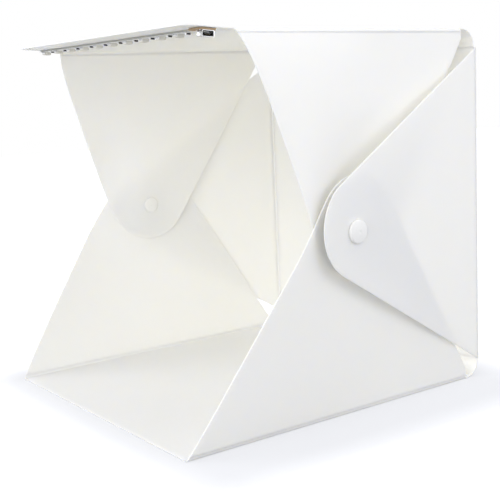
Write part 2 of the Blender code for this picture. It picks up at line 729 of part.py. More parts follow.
def main():
    remove_everything()
    sheet = make_material("white_polypropylene_sheet", (0.91, 0.91, 0.90), 0.42)
    snap = make_material("white_acetal_snap", (0.92, 0.92, 0.92), 0.3)
    tape = make_material("clear_foam_tape", (0.85, 0.85, 0.82), 0.7)
    strip = make_material("white_flex_circuit", (0.86, 0.86, 0.84), 0.5)
    chip = make_material("led_package", (0.9, 0.88, 0.74), 0.35)
    resistor = make_material("black_chip_resistor", (0.06, 0.055, 0.05), 0.4)
    board = make_material("brown_phenolic_board", (0.45, 0.3, 0.16), 0.6)
    shell = make_material("tinned_steel_shell", (0.75, 0.75, 0.76), 0.3, 1.0)
    insert = make_material("black_moulded_insert", (0.02, 0.02, 0.02), 0.5)

    base = make_hinge("base_frame", Matrix.Identity(4))
    back = make_hinge("back_crease", Matrix.Translation((0, REAR, 0)), base)
    top = make_hinge("top_crease", Matrix.Translation((0, REAR, HEIGHT)), back)
    add_base_panel(base, sheet)
    add_back_panel(back, sheet)
    add_top_panel(top, sheet)
    for side in SIDES:
        lower = add_lower_wing(side, base, sheet)
        upper = add_upper_wing(side, top, sheet)
        flap = add_flap(side, back, sheet)
        add_snaps(side, flap, lower, upper, snap)
    seat = add_light_strip(top, tape, strip)
    add_lights(top, seat, chip, resistor)
    add_inlet(top, board, shell, insert)


main()
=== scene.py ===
"""Dresses a folding photo light tent: creased plastic sheet, snap fasteners, light strip and power inlet.

Lengths are in metres, +X to the right, +Y to the rear and +Z up, with the origin under the middle of the box.
"""

import json
import logging
import math
from dataclasses import dataclass, field
from enum import Enum
from typing import Any, Callable

import bmesh
import bpy
from mathutils import Matrix, Vector

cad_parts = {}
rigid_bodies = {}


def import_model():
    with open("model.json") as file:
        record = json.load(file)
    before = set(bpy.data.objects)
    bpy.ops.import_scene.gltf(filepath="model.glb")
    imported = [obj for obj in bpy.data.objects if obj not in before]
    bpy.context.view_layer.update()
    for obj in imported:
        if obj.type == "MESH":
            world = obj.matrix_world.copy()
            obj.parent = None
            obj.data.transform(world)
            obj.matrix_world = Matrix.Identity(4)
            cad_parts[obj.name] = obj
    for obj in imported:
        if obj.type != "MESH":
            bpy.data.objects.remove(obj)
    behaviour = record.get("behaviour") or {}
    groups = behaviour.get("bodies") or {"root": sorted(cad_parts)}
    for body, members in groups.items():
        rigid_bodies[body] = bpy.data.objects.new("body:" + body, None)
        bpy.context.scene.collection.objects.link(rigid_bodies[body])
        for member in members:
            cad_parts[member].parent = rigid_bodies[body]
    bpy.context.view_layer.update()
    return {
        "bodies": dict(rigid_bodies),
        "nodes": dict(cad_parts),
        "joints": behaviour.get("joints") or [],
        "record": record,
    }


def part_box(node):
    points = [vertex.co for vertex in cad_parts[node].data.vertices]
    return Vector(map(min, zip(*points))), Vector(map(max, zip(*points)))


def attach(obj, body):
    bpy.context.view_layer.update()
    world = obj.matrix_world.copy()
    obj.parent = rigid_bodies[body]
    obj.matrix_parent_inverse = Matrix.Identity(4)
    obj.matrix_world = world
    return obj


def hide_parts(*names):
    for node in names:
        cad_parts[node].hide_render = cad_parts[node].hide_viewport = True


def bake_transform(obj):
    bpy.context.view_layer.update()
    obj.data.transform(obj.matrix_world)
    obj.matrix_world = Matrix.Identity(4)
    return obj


LOG = logging.getLogger("light_tent")
MM = 0.001
FRAME_WIDTH = 500
SHARP_DEG = 35.0
RIM_DEG = 60.0
WELD = 0.02 * MM
FINE_WELD = WELD / 10
CELL_WELD_SHARE = 1 / 12
BEND_STEPS = 12
LIP_CORNER_STEPS = 12
MIX_COLOUR_OUT = 2

Point2 = Vector
Corner = tuple[float, float, float]
Pair = tuple[float, float]
Span = tuple[float, float]
Shape = bmesh.types.BMesh
Socket = bpy.types.NodeSocket
RimTest = Callable[[Vector], bool]
Bow = Callable[[Vector, "Tent"], float]


class Side(Enum):
    """A side of the box, with the sign of its X."""

    RIGHT = 1
    LEFT = -1

    @property
    def word(self) -> str:
        """The side's name as the nodes and bodies have it."""
        return self.name.lower()


class Layer(Enum):
    """A layer of a side wall, by the stem of its nodes' names."""

    LOWER = "lower_wing"
    UPPER = "upper_wing"
    FLAP = "rear_flap"

    def node(self, side: Side) -> str:
        """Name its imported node."""
        return f"{self.value}_{side.word}"

    def body(self, side: Side) -> str:
        """Name its body, whose stem is shorter for a flap."""
        stem = "flap" if self is Layer.FLAP else self.value
        return f"{stem}_{side.word}"


# Colour and node helpers


def linear(code: str) -> tuple[float, float, float, float]:
    """Turn an sRGB hex colour into the linear values that a shader takes.

    Args:
        code: Six hex digits, with or without a leading hash.

    Returns:
        Red, green, blue and an alpha of 1.
    """
    digits = code.lstrip("#")
    channels = []
    for start in (0, 2, 4):
        value = int(digits[start : start + 2], 16) / 255
        channels.append(value / 12.92 if value <= 0.04045 else ((value + 0.055) / 1.055) ** 2.4)
    return (*channels, 1.0)


def feed(tree: bpy.types.NodeTree, node: bpy.types.Node, values: dict) -> None:
    """Give a node its constants and incoming links.

    Args:
        tree: The node tree that it is in.
        node: The node.
        values: For each input, by name or number, a value or the output socket that feeds it.
    """
    for key, value in values.items():
        if isinstance(value, Socket):
            tree.links.new(value, node.inputs[key])
        else:
            node.inputs[key].default_value = value


def add_node(
    tree: bpy.types.NodeTree, kind: str, values: dict | None = None, **settings: Any
) -> bpy.types.Node:
    """Add one shader node with its settings, constants and incoming links.

    Args:
        tree: The node tree that the node goes into.
        kind: The node's class name, without its ShaderNode prefix.
        values: For each input, by name or number, a value or the output socket that feeds it.
        settings: The node's own properties.

    Returns:
        The new node.
    """
    node = tree.nodes.new("ShaderNode" + kind)
    for name, value in settings.items():
        setattr(node, name, value)
    feed(tree, node, values or {})
    return node


class Recipe:
    """A material under way, whose patterns lie in Object coordinates."""

    def __init__(self, name: str) -> None:
        """Start the material.

        Args:
            name: The material's name.
        """
        self.material = bpy.data.materials.new(name)
        self.material.use_nodes = True
        self.tree = self.material.node_tree
        self.shader = self.tree.nodes["Principled BSDF"]
        self.place = add_node(self.tree, "TexCoord").outputs["Object"]

    def noise(self, size: float, detail: float) -> Socket:
        """Add a noise whose patches are about as wide as the size."""
        values = {"Vector": self.place, "Scale": 1 / size, "Detail": detail}
        return add_node(self.tree, "TexNoise", values).outputs["Fac"]

    def relief(self, height: Socket, depth: float, **under: Socket) -> Socket:
        """Turn a pattern into bumps, over those that Normal brings in."""
        return add_node(self.tree, "Bump", {"Height": height, "Distance": depth, **under}).outputs["Normal"]

    def between(self, pattern: Socket, low: float, high: float) -> Socket:
        """Turn a pattern into values from low to high."""
        values = {"Value": pattern, "To Min": low, "To Max": high}
        return add_node(self.tree, "MapRange", values).outputs["Result"]

    def finish(self, values: dict[str, Any]) -> bpy.types.Material:
        """Set the Principled shader's inputs.

        Args:
            values: For each input a constant or the output socket that feeds it.

        Returns:
            The material.
        """
        feed(self.tree, self.shader, values)
        return self.material


# Finishes


@dataclass(frozen=True)
class SheetPlastic:
    """Extruded polypropylene sheet, calendered between matt rollers, cut and scored with a rule die."""

    colour: str = "#FAF9F5"
    cloud_colour: str = "#F8F7F2"
    cloud_size: float = 35 * MM
    cloud_detail: float = 2.0
    grain_size: float = 0.55 * MM
    grain_depth: float = 0.012 * MM
    grain_detail: float = 3.0
    wave_size: float = 60 * MM
    wave_depth: float = 0.06 * MM
    wave_detail: float = 1.0
    roughness: float = 0.46
    glossier: float = 0.06
    duller: float = 0.08
    ior: float = 1.49
    scatter: float = 1.0
    scatter_reach: float = 0.9 * MM
    scatter_spread: tuple[float, float, float] = (1.0, 0.95, 0.82)

    def build(self) -> bpy.types.Material:
        """Make the material, a satin white with a fine matt grain, faint clouding and slow waves."""
        recipe = Recipe("satin_polypropylene_sheet")
        cloud = recipe.noise(self.cloud_size, self.cloud_detail)
        colours = {"Factor": cloud, "A": linear(self.colour), "B": linear(self.cloud_colour)}
        tint = add_node(recipe.tree, "Mix", colours, data_type="RGBA")
        # Grit of the matt roller, about half a millimetre, which is as fine as the picture can hold
        grain = recipe.noise(self.grain_size, self.grain_detail)
        wave = recipe.relief(recipe.noise(self.wave_size, self.wave_detail), self.wave_depth)
        values = {
            "Base Color": tint.outputs[MIX_COLOUR_OUT],
            "Roughness": recipe.between(grain, self.roughness - self.glossier, self.roughness + self.duller),
            "Normal": recipe.relief(grain, self.grain_depth, Normal=wave),
            "IOR": self.ior,
            "Subsurface Weight": self.scatter,
            "Subsurface Radius": self.scatter_spread,
            "Subsurface Scale": self.scatter_reach,
        }
        return recipe.finish(values)


@dataclass(frozen=True)
class Surface:
    """A hard surface: its colour, its gloss and the faint marks that its making leaves."""

    name: str
    colour: str
    roughness: float
    mark_size: float = 1.6 * MM
    mark_depth: float = 0.01 * MM
    mark_detail: float = 2.0
    glossier: float = 0.05
    duller: float = 0.05
    ior: float = 1.48
    metallic: float = 0.0

    def build(self) -> bpy.types.Material:
        """Make the material, its gloss broken up and its skin dented by the marks."""
        recipe = Recipe(self.name)
        mark = recipe.noise(self.mark_size, self.mark_detail)
        values = {
            "Base Color": linear(self.colour),
            "Metallic": self.metallic,
            "Roughness": recipe.between(mark, self.roughness - self.glossier, self.roughness + self.duller),
            "Normal": recipe.relief(mark, self.mark_depth),
            "IOR": self.ior,
        }
        return recipe.finish(values)


class Moulding(Surface):
    """A moulded, cast or printed material, whose marks are a faint orange peel."""


@dataclass(frozen=True)
class BareMetal(Surface):
    """A tinned, soldered or gold-flashed metal, rolled or reflowed, whose marks are fine scuffs."""

    mark_size: float = 1.8 * MM
    mark_detail: float = 4.0
    glossier: float = 0.04
    duller: float = 0.06
    ior: float = 1.5
    metallic: float = 1.0


FINISHES = {
    "sheet": SheetPlastic(),
    # Injection-moulded acetal, dense white with a soft gloss from a polished tool
    "acetal": Moulding("moulded_acetal", "#F6F6F4", 0.3),
    # Acrylic foam tape, matt and slightly grey where its cut edge shows
    "tape": Moulding("acrylic_foam_tape", "#DEDED6", 0.75),
    # White solder mask printed over copper foil, satin with a faint ripple from the foil below
    "mask": Moulding("printed_solder_mask", "#E4E5E2", 0.42, 2.5 * MM, 0.03 * MM),
    # Moulded polyamide lamp housing, a little creamy and half matt
    "housing": Moulding("moulded_polyamide", "#E8E6DE", 0.4),
    # Silicone gel filled with phosphor, pale yellow and wet
    "phosphor": Moulding("phosphor_gel", "#EDE2A8", 0.2, glossier=0.04, duller=0.04),
    # Fired glass glaze over the resistor's ceramic, nearly black with a sheen; the body's sides get it too,
    # where the real part is white, so the dark there is painted shade
    "glaze_painted_shade": Moulding("fired_glass_glaze", "#2A2730", 0.28),
    # Hot-dipped tin and reflowed solder, bright grey and softly dented
    "tin": BareMetal("tinned_copper", "#C9CACC", 0.32),
    # Screen-printed ink, dark grey and matt
    "ink": Moulding("screen_printed_ink", "#3B3A3C", 0.6),
    # Pressed phenolic paper laminate, brown with a dull face
    "laminate": Moulding("phenolic_paper_laminate", "#AE9474", 0.6, 0.8 * MM, 0.02 * MM),
    # Deep-drawn and folded tinned steel strip, bright
    "steel": BareMetal("tinned_steel_strip", "#C2C3C6", 0.26),
    # Moulded glass-filled nylon, black and matt
    "insert": Moulding("glass_filled_nylon", "#0D0D0E", 0.55),
    # Gold flash over nickel on the contacts, yellow and bright
    "gold": BareMetal("gold_flashed_contact", "#D9B25A", 0.22),
}

SLOT_FINISHES = {
    "sheet": "sheet",
    "snap": "acetal",
    "tape": "tape",
    "flex_circuit": "mask",
    "led_package": "housing",
    "resistor": "glaze_painted_shade",
    "board": "laminate",
    "socket_shell": "steel",
    "socket_insert": "insert",
}


# Mesh helpers


def cut_off(shape: Shape, point: Vector, outward: Vector) -> None:
    """Cut a surface along a plane and drop what lies beyond it.

    Args:
        shape: The surface, cut in place.
        point: A point in the plane.
        outward: Points to the side that goes.
    """
    whole = shape.verts[:] + shape.edges[:] + shape.faces[:]
    bmesh.ops.bisect_plane(shape, geom=whole, plane_co=point, plane_no=outward, clear_outer=True)


def cut_panel(outline: list[Point2], cell: float) -> Shape:
    """Make a flat panel in X and Y as a fine grid, die-cut to a convex outline.

    Args:
        outline: The outline's points, anticlockwise.
        cell: About how wide the grid's cells are.

    Returns:
        The panel, its faces up.
    """
    low = Vector((min(p.x for p in outline), min(p.y for p in outline), 0))
    high = Vector((max(p.x for p in outline), max(p.y for p in outline), 0))
    span = high - low
    shape = bmesh.new()
    bmesh.ops.create_grid(
        shape,
        x_segments=max(2, round(span.x / cell)),
        y_segments=max(2, round(span.y / cell)),
        size=0.5,
        matrix=Matrix.Translation((low + high) / 2) @ Matrix.Diagonal((span.x, span.y, 1, 1)),
    )
    for point, following in zip(outline, outline[1:] + outline[:1]):
        run = following - point
        cut_off(shape, point.to_3d(), Vector((run.y, -run.x, 0)))
    bmesh.ops.remove_doubles(shape, verts=shape.verts[:], dist=cell * CELL_WELD_SHARE)
    return shape


def arc(centre: Point2, radius: float, start: float, turn: float, steps: int) -> list[Point2]:
    """Find the points of an arc.

    Args:
        centre: Its centre.
        radius: Its radius.
        start: The angle that it starts at, in radians.
        turn: The angle that it turns through, anticlockwise.
        steps: How many stretches it has.

    Returns:
        The points in order.
    """
    angles = [start + turn * step / steps for step in range(steps + 1)]
    return [centre + Vector((math.cos(angle), math.sin(angle))) * radius for angle in angles]


def round_tip(left: Point2, right: Point2, centre: Point2, radius: float, steps: int = 20) -> list[Point2]:
    """Find the arc that joins the straight edges from two corners below it.

    Args:
        left: The corner on the left.
        right: The corner on the right.
        centre: The arc's centre, above both corners.
        radius: The arc's radius.
        steps: How many stretches the arc has.

    Returns:
        The arc's points, from right to left.
    """
    to_left = left - centre
    to_right = right - centre
    start = math.atan2(to_right.y, to_right.x) + math.acos(radius / to_right.length)
    end = math.atan2(to_left.y, to_left.x) - math.acos(radius / to_left.length)
    return arc(centre, radius, start, (end - start) % math.tau, steps)


def smooth_step(value: float, start: float, end: float) -> float:
    """Ease from 0 at start to 1 at end, flat at both.

    Args:
        value: Where on the way.
        start: Where the way starts.
        end: Where it ends, which may be below the start.

    Returns:
        A share from 0 to 1.
    """
    share = min(1.0, max(0.0, (value - start) / (end - start)))
    return share * share * (3 - 2 * share)


def face_towards(shape: Shape, outward: Vector) -> None:
    """Turn an open surface's faces so that they look outward on the whole.

    Args:
        shape: The surface.
        outward: A direction on the outer side.
    """
    bmesh.ops.recalc_face_normals(shape, faces=shape.faces[:])
    if sum((face.normal.dot(outward) * face.calc_area() for face in shape.faces), 0.0) < 0:
        bmesh.ops.reverse_faces(shape, faces=shape.faces[:])


def ease_edges(shape: Shape, edges: list[bmesh.types.BMEdge], ease: float) -> None:
    """Round edges over.

    Args:
        shape: The mesh.
        edges: Its edges that are rounded.
        ease: How far.
    """
    bmesh.ops.bevel(
        shape,
        geom=edges,
        offset=ease,
        segments=2,
        profile=0.5,
        affect="EDGES",
        material=-1,
        clamp_overlap=True,
    )


def thicken(shape: Shape, thickness: float, ease: float = 0.0, shown: RimTest | None = None) -> None:
    """Give an open surface its wall on the inner side and ease the rims that show.

    Args:
        shape: The surface, its faces outward.
        thickness: The wall.
        ease: How far a shown rim is rounded over.
        shown: Says whether a rim point shows, and isn't where another stretch of the sheet goes on.
    """
    bmesh.ops.solidify(shape, geom=shape.faces[:], thickness=thickness)
    bmesh.ops.recalc_face_normals(shape, faces=shape.faces[:])
    if shown is None:
        return
    steep = math.radians(RIM_DEG)
    sharp = [edge for edge in shape.edges if edge.is_manifold and edge.calc_face_angle() > steep]
    rims = [edge for edge in sharp if all(shown(vert.co) for vert in edge.verts)]
    if rims:
        ease_edges(shape, rims, ease)


def finish_piece(
    name: str, shape: Shape, materials: list[bpy.types.Material], nodes: tuple[str, ...] = ()
) -> bpy.types.Object:
    """Turn a bmesh into a shaded piece at the origin.

    Args:
        name: The piece's name.
        shape: Its mesh in the row frame, freed here.
        materials: Its materials, in the order of its faces' indices.
        nodes: The nodes that it replaces.

    Returns:
        The piece, which rides on nothing yet.
    """
    mesh = bpy.data.meshes.new(name)
    shape.to_mesh(mesh)
    shape.free()
    mesh.shade_smooth()
    mesh.set_sharp_from_angle(angle=math.radians(SHARP_DEG))
    for material in materials:
        mesh.materials.append(material)
    piece = bpy.data.objects.new(name, mesh)
    bpy.context.scene.collection.objects.link(piece)
    if nodes:
        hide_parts(*nodes)
    LOG.info("%s: %d faces", name, len(mesh.polygons))
    return piece


def soften(corners: list[Corner], steps: int = 4) -> list[Point2]:
    """Round the corners of an open outline.

    Args:
        corners: For each point its place across, its place up and the radius that rounds it.
        steps: How many stretches a rounded corner has.

    Returns:
        The outline's points.
    """
    points = [Vector(corners[0][:2])]
    for before, (across, up, radius), after in zip(corners, corners[1:], corners[2:]):
        here = Vector((across, up))
        if radius == 0:
            points.append(here)
            continue
        back = (Vector(before[:2]) - here).normalized()
        ahead = (Vector(after[:2]) - here).normalized()
        half = back.angle(ahead) / 2
        centre = here + (back + ahead).normalized() * radius / math.sin(half)
        arm = here + back * radius / math.tan(half) - centre
        turn = arm.angle_signed(here + ahead * radius / math.tan(half) - centre)
        for step in range(steps + 1):
            spoke = arm.copy()
            spoke.rotate(Matrix.Rotation(-turn * step / steps, 2))
            points.append(centre + spoke)
    return points + [Vector(corners[-1][:2])]


def turned(outline: list[Point2], sides: int) -> Shape:
    """Spin an outline of radius and height about Z into a closed solid.

    Args:
        outline: From the axis to the axis, or round a ring's section back to its start.
        sides: How many stretches the turn has.

    Returns:
        The solid.
    """
    shape = bmesh.new()
    points = [shape.verts.new((point.x, 0, point.y)) for point in outline]
    edges = [shape.edges.new(pair) for pair in zip(points, points[1:])]
    bmesh.ops.spin(
        shape,
        geom=points + edges,
        cent=(0, 0, 0),
        axis=(0, 0, 1),
        angle=math.tau,
        steps=sides,
        use_merge=True,
    )
    bmesh.ops.remove_doubles(shape, verts=shape.verts[:], dist=FINE_WELD)
    bmesh.ops.recalc_face_normals(shape, faces=shape.faces[:])
    return shape


def ring(centre: Vector, across: Vector, up: Vector, power: float = 2.0, count: int = 32) -> list[Vector]:
    """Find points round a circle, or round a rectangle with soft corners.

    Args:
        centre: The middle.
        across: Half its width, as an arrow.
        up: Half its height, as an arrow.
        power: 2 for an ellipse, and more for squarer corners.
        count: How many points.

    Returns:
        The points in order.
    """
    points = []
    for index in range(count):
        angle = math.tau * index / count
        cosine = math.cos(angle)
        sine = math.sin(angle)
        point = centre + across * math.copysign(abs(cosine) ** (2 / power), cosine)
        points.append(point + up * math.copysign(abs(sine) ** (2 / power), sine))
    return points


def loft(
    shape: Shape, rings: list[list[Vector]], closed: bool = False, materials: tuple[int, ...] = ()
) -> None:
    """Join rings of points into one skin, shut at both ends or joined end to end.

    Args:
        shape: The mesh that gets the skin.
        rings: The rings, all with as many points.
        closed: Joins the last ring to the first in place of two end faces.
        materials: For each stretch between rings, and then the last end, a material index.
    """
    verts = [shape.verts.new(point) for point in rings[0]]
    edges = [shape.edges.new(pair) for pair in zip(verts, verts[1:] + verts[:1])]
    start_verts = verts
    start_edges = edges
    made = []
    following = rings[1:] + rings[:1] if closed else rings[1:]
    for number, points in enumerate(following):
        grown = bmesh.ops.extrude_edge_only(shape, edges=edges)["geom"]
        fresh = {element for element in grown if isinstance(element, bmesh.types.BMVert)}
        partners = []
        for vert, point in zip(verts, points):
            neighbours = (edge.other_vert(vert) for edge in vert.link_edges)
            partner = next(neighbour for neighbour in neighbours if neighbour in fresh)
            partner.co = point
            partners.append(partner)
        faces = {face for vert in partners for face in vert.link_faces}
        for face in faces:
            face.material_index = materials[number] if materials else 0
        made += faces
        verts = partners
        edges = [shape.edges.get(pair) for pair in zip(verts, verts[1:] + verts[:1])]
    if closed:
        bmesh.ops.remove_doubles(shape, verts=start_verts + verts, dist=FINE_WELD)
    else:
        for loop, index in ((start_edges, 0), (edges, len(following))):
            for face in bmesh.ops.contextual_create(shape, geom=loop)["faces"]:
                face.material_index = materials[index] if materials else 0
                made.append(face)
    bmesh.ops.recalc_face_normals(shape, faces=[face for face in made if face.is_valid])


def around(middle: float, half: float) -> Span:
    """Give the span of a stretch from its middle and half its length."""
    return middle - half, middle + half


def add_block(
    shape: Shape, spans: tuple[Span, Span, Span], material: int = 0, ease: float = 0.0
) -> list[bmesh.types.BMVert]:
    """Add a block with softened edges.

    Args:
        shape: The mesh that gets it.
        spans: Its two ends in X, in Y and in Z, in either order.
        material: Its material index.
        ease: How far its edges are rounded over.

    Returns:
        Its eight corners where it isn't eased.
    """
    low = Vector(min(span) for span in spans)
    high = Vector(max(span) for span in spans)
    place = Matrix.Translation((low + high) / 2) @ Matrix.Diagonal((*(high - low), 1))
    corners = bmesh.ops.create_cube(shape, size=1.0, matrix=place)["verts"]
    for face in {face for corner in corners for face in corner.link_faces}:
        face.material_index = material
    if ease:
        ease_edges(shape, list({edge for corner in corners for edge in corner.link_edges}), ease)
        return []
    return corners


def extrude_row(shape: Shape, edges: list[bmesh.types.BMEdge], push: Vector) -> list[bmesh.types.BMEdge]:
    """Grow a row of faces from a row of edges.

    Args:
        shape: The mesh.
        edges: The row.
        push: How far the new row lies from it.

    Returns:
        The new row's edges.
    """
    grown = bmesh.ops.extrude_edge_only(shape, edges=edges)["geom"]
    points = [element for element in grown if isinstance(element, bmesh.types.BMVert)]
    bmesh.ops.translate(shape, vec=push, verts=points)
    moved = set(points)
    found = [element for element in grown if isinstance(element, bmesh.types.BMEdge)]
    return [edge for edge in found if all(vert in moved for vert in edge.verts)]


def mesh_span(node: str, frame: dict[str, Any], turn: Matrix) -> tuple[Vector, Vector, Vector]:
    """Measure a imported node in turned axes.

    Args:
        node: The node's name.
        frame: The loaded frame.
        turn: Takes the row frame to the axes that it is measured in.

    Returns:
        Its lowest corner, its highest corner and the mean of its points.
    """
    points = [turn @ vert.co for vert in frame["nodes"][node].data.vertices]
    low = Vector(min(point[axis] for point in points) for axis in range(3))
    high = Vector(max(point[axis] for point in points) for axis in range(3))
    return low, high, sum(points, Vector()) / len(points)


# The folded sheet


@dataclass(frozen=True)
class Crease:
    """A fold between two flat stretches of the sheet, seen along the fold."""

    corner: Vector
    along: Vector
    first: Vector
    second: Vector
    radius: float

    @property
    def turn(self) -> float:
        """The angle that the sheet turns through."""
        return math.pi - self.first.angle(self.second)

    @property
    def setback(self) -> float:
        """How far before the corner the bend starts."""
        return self.radius * math.tan(self.turn / 2)

    @property
    def start(self) -> Vector:
        """Where the bend starts on the first stretch."""
        return self.corner + self.first * self.setback

    @property
    def end(self) -> Vector:
        """Where it ends on the second."""
        return self.corner + self.second * self.setback

    @property
    def outward(self) -> Vector:
        """The direction from the bend's centre to the corner."""
        return -(self.first + self.second).normalized()

    @property
    def centre(self) -> Vector:
        """The bend's centre."""
        return self.corner - self.outward * self.radius / math.cos(self.turn / 2)

    @property
    def second_plane(self) -> Matrix:
        """Takes X to run along the fold and Y over the second stretch, from the corner."""
        columns = (self.along, self.second, self.along.cross(self.second))
        return Matrix.Translation(self.corner) @ Matrix(columns).transposed().to_4x4()

    def strip(self, low: float, high: float, leads: Pair, cell: float) -> Shape:
        """Make the bent strip, with a flat lead on each side that the panels' own shading meets.

        Args:
            low: Where along the fold it starts.
            high: Where it ends.
            leads: How far it runs on along the first stretch, and along the second.
            cell: About how long its cells are along the fold.

        Returns:
            The strip's outer surface.
        """
        shape = bmesh.new()
        count = max(2, round((high - low) / cell))
        base = self.start + self.first * leads[0]
        base -= self.along * base.dot(self.along)
        places = [low + (high - low) * step / count for step in range(count + 1)]
        row = [shape.verts.new(base + self.along * place) for place in places]
        edges = [shape.edges.new(pair) for pair in zip(row, row[1:])]
        edges = extrude_row(shape, edges, -self.first * leads[0])
        # The sign of the turn is the one that takes the bend's start to its end
        probe = self.centre + Matrix.Rotation(self.turn, 3, self.along) @ (self.start - self.centre)
        sign = 1 if (probe - self.end).length < (self.end - self.start).length / 2 else -1
        spun = bmesh.ops.spin(
            shape,
            geom=edges + list({vert for edge in edges for vert in edge.verts}),
            cent=self.centre,
            axis=self.along,
            angle=self.turn * sign,
            steps=BEND_STEPS,
            use_merge=False,
        )
        edges = [element for element in spun["geom_last"] if isinstance(element, bmesh.types.BMEdge)]
        extrude_row(shape, edges, self.second * leads[1])
        face_towards(shape, self.outward)
        return shape


@dataclass(frozen=True)
class Tip:
    """A wing's or flap's round tip: its radius, and how far its centre is past the snap."""

    radius: float
    past_snap: float


TIPS = {
    Layer.LOWER: Tip(30.5 * MM, 3.8 * MM),
    Layer.UPPER: Tip(31.5 * MM, 0.9 * MM),
    Layer.FLAP: Tip(32.2 * MM, 1.9 * MM),
}


@dataclass(frozen=True)
class Tent:
    """The box's sizes: those of its panels as they are packed, and those of the sheet itself."""

    half_width: float
    roof_half_width: float
    rear_half_width: float
    front: float
    rear: float
    height: float
    lip_front: float
    snap: Vector
    sheet: float = 0.8 * MM
    bend_radius: float = 12 * MM
    crease_radius: float = 1.6 * MM
    crease_lead: float = 1.0 * MM
    crease_end_setback: float = 13.1 * MM
    flap_end_setback: float = 12.6 * MM
    wing_end_setback: float = 8.5 * MM
    lip_reach: float = 32.7 * MM
    lip_corner: float = 8 * MM
    lip_tilt_deg: float = 4.0
    lip_fineness: float = 2.0
    rim_ease: float = 0.12 * MM
    cell: float = 4 * MM

    @staticmethod
    def from_frame(frame: dict[str, Any]) -> "Tent":
        """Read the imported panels' sizes.

        Args:
            frame: The loaded frame.

        Returns:
            The sizes, the height taken behind the lip, which is tipped up above the roof.
        """
        cap_low, cap_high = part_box("snap_cap_right")
        roof = frame["nodes"]["top_panel"].data.vertices
        return Tent(
            half_width=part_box("base_panel")[1].x,
            roof_half_width=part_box("top_panel")[1].x,
            rear_half_width=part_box("back_panel")[1].x,
            front=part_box("base_panel")[0].y,
            rear=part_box("back_panel")[1].y,
            height=max(vert.co.z for vert in roof if vert.co.y > 0),
            lip_front=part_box("top_panel")[0].y,
            snap=(cap_low + cap_high) / 2,
        )

    @property
    def crease_end(self) -> float:
        """Where the side creases of floor and roof stop, short of the rear bends."""
        return self.rear - self.crease_end_setback

    @property
    def roof_front(self) -> float:
        """Where the lip starts, and behind it the upper wings' creases."""
        return self.lip_front + self.lip_reach

    @property
    def lip_turn(self) -> Matrix:
        """The turn that tips the lip up about the line where it leaves the roof's underside."""
        foot = Matrix.Translation((0, self.roof_front, self.height - self.sheet))
        return foot @ Matrix.Rotation(-math.radians(self.lip_tilt_deg), 4, "X") @ foot.inverted()

    def reach(self, side: Side, layer: Layer) -> Pair:
        """Find how far a packed wing or flap reaches from its crease, first outward and then over the wall.

        Args:
            side: The side of the box.
            layer: Which wing or flap.

        Returns:
            The two reaches.
        """
        low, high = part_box(layer.node(side))
        out = max(abs(low.x), abs(high.x))
        if layer is Layer.LOWER:
            return out - self.half_width, high.z
        if layer is Layer.UPPER:
            return out - self.roof_half_width, self.height - low.z
        return out - self.rear_half_width, self.rear - low.y

    def lean(self, side: Side, layer: Layer) -> float:
        """Find how far a wing or flap leans out, in radians."""
        out, over = self.reach(side, layer)
        return math.atan(out / over)

    def crease(self, side: Side, layer: Layer) -> Crease:
        """Find the crease that a wing or flap hangs from.

        Args:
            side: The side of the box.
            layer: Which wing or flap.

        Returns:
            The crease, its first stretch on the middle panel.
        """
        lean = self.lean(side, layer)
        out = side.value * math.sin(lean)
        over = math.cos(lean)
        if layer is Layer.LOWER:
            corner, along, away = (self.half_width, 0, 0), (0, 1, 0), (out, 0, over)
        elif layer is Layer.UPPER:
            corner, along, away = (self.roof_half_width, 0, self.height), (0, 1, 0), (out, 0, -over)
        else:
            corner, along, away = (self.rear_half_width, self.rear, 0), (0, 0, 1), (out, -over, 0)
        place = Vector(corner) * Vector((side.value, 1, 1))
        return Crease(place, Vector(along), Vector((-side.value, 0, 0)), Vector(away), self.crease_radius)

    def inset(self, layer: Layer) -> float:
        """Find how far in from its corner a middle panel stops for the side crease."""
        return self.crease(Side.RIGHT, layer).setback + self.crease_lead

    def outline(self, side: Side, layer: Layer) -> list[Point2]:
        """Find the outline of a wing or flap.

        Args:
            side: The side of the box.
            layer: Which wing or flap.

        Returns:
            Points along the crease and away from its corner, anticlockwise from the crease's start.
        """
        tip = TIPS[layer]
        away = self.reach(side, layer)[1] / math.cos(self.lean(side, layer)) - tip.radius
        if layer is Layer.FLAP:
            low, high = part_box(layer.node(side))
            left = Vector((low.z, self.crease_lead))
            right = Vector((high.z, self.crease_lead))
            centre = Vector((self.snap.z + tip.past_snap, away))
        else:
            left = Vector((self.front if layer is Layer.LOWER else self.roof_front, 0))
            right = Vector((self.rear - self.wing_end_setback, 0))
            centre = Vector((self.snap.y + tip.past_snap, away))
        return [left, right] + round_tip(left, right, centre, tip.radius)


@dataclass(frozen=True)
class Bulge:
    """How far a wing's front part stands out, by how far it is from the wing's crease."""

    rise: float
    reach: float
    slope: float
    fade_end: float

    def at(self, away: float) -> float:
        """Find how far it stands out where nothing holds it."""
        return self.rise * (1 - math.exp(-max(0.0, away) / self.reach)) + self.slope * max(0.0, away)


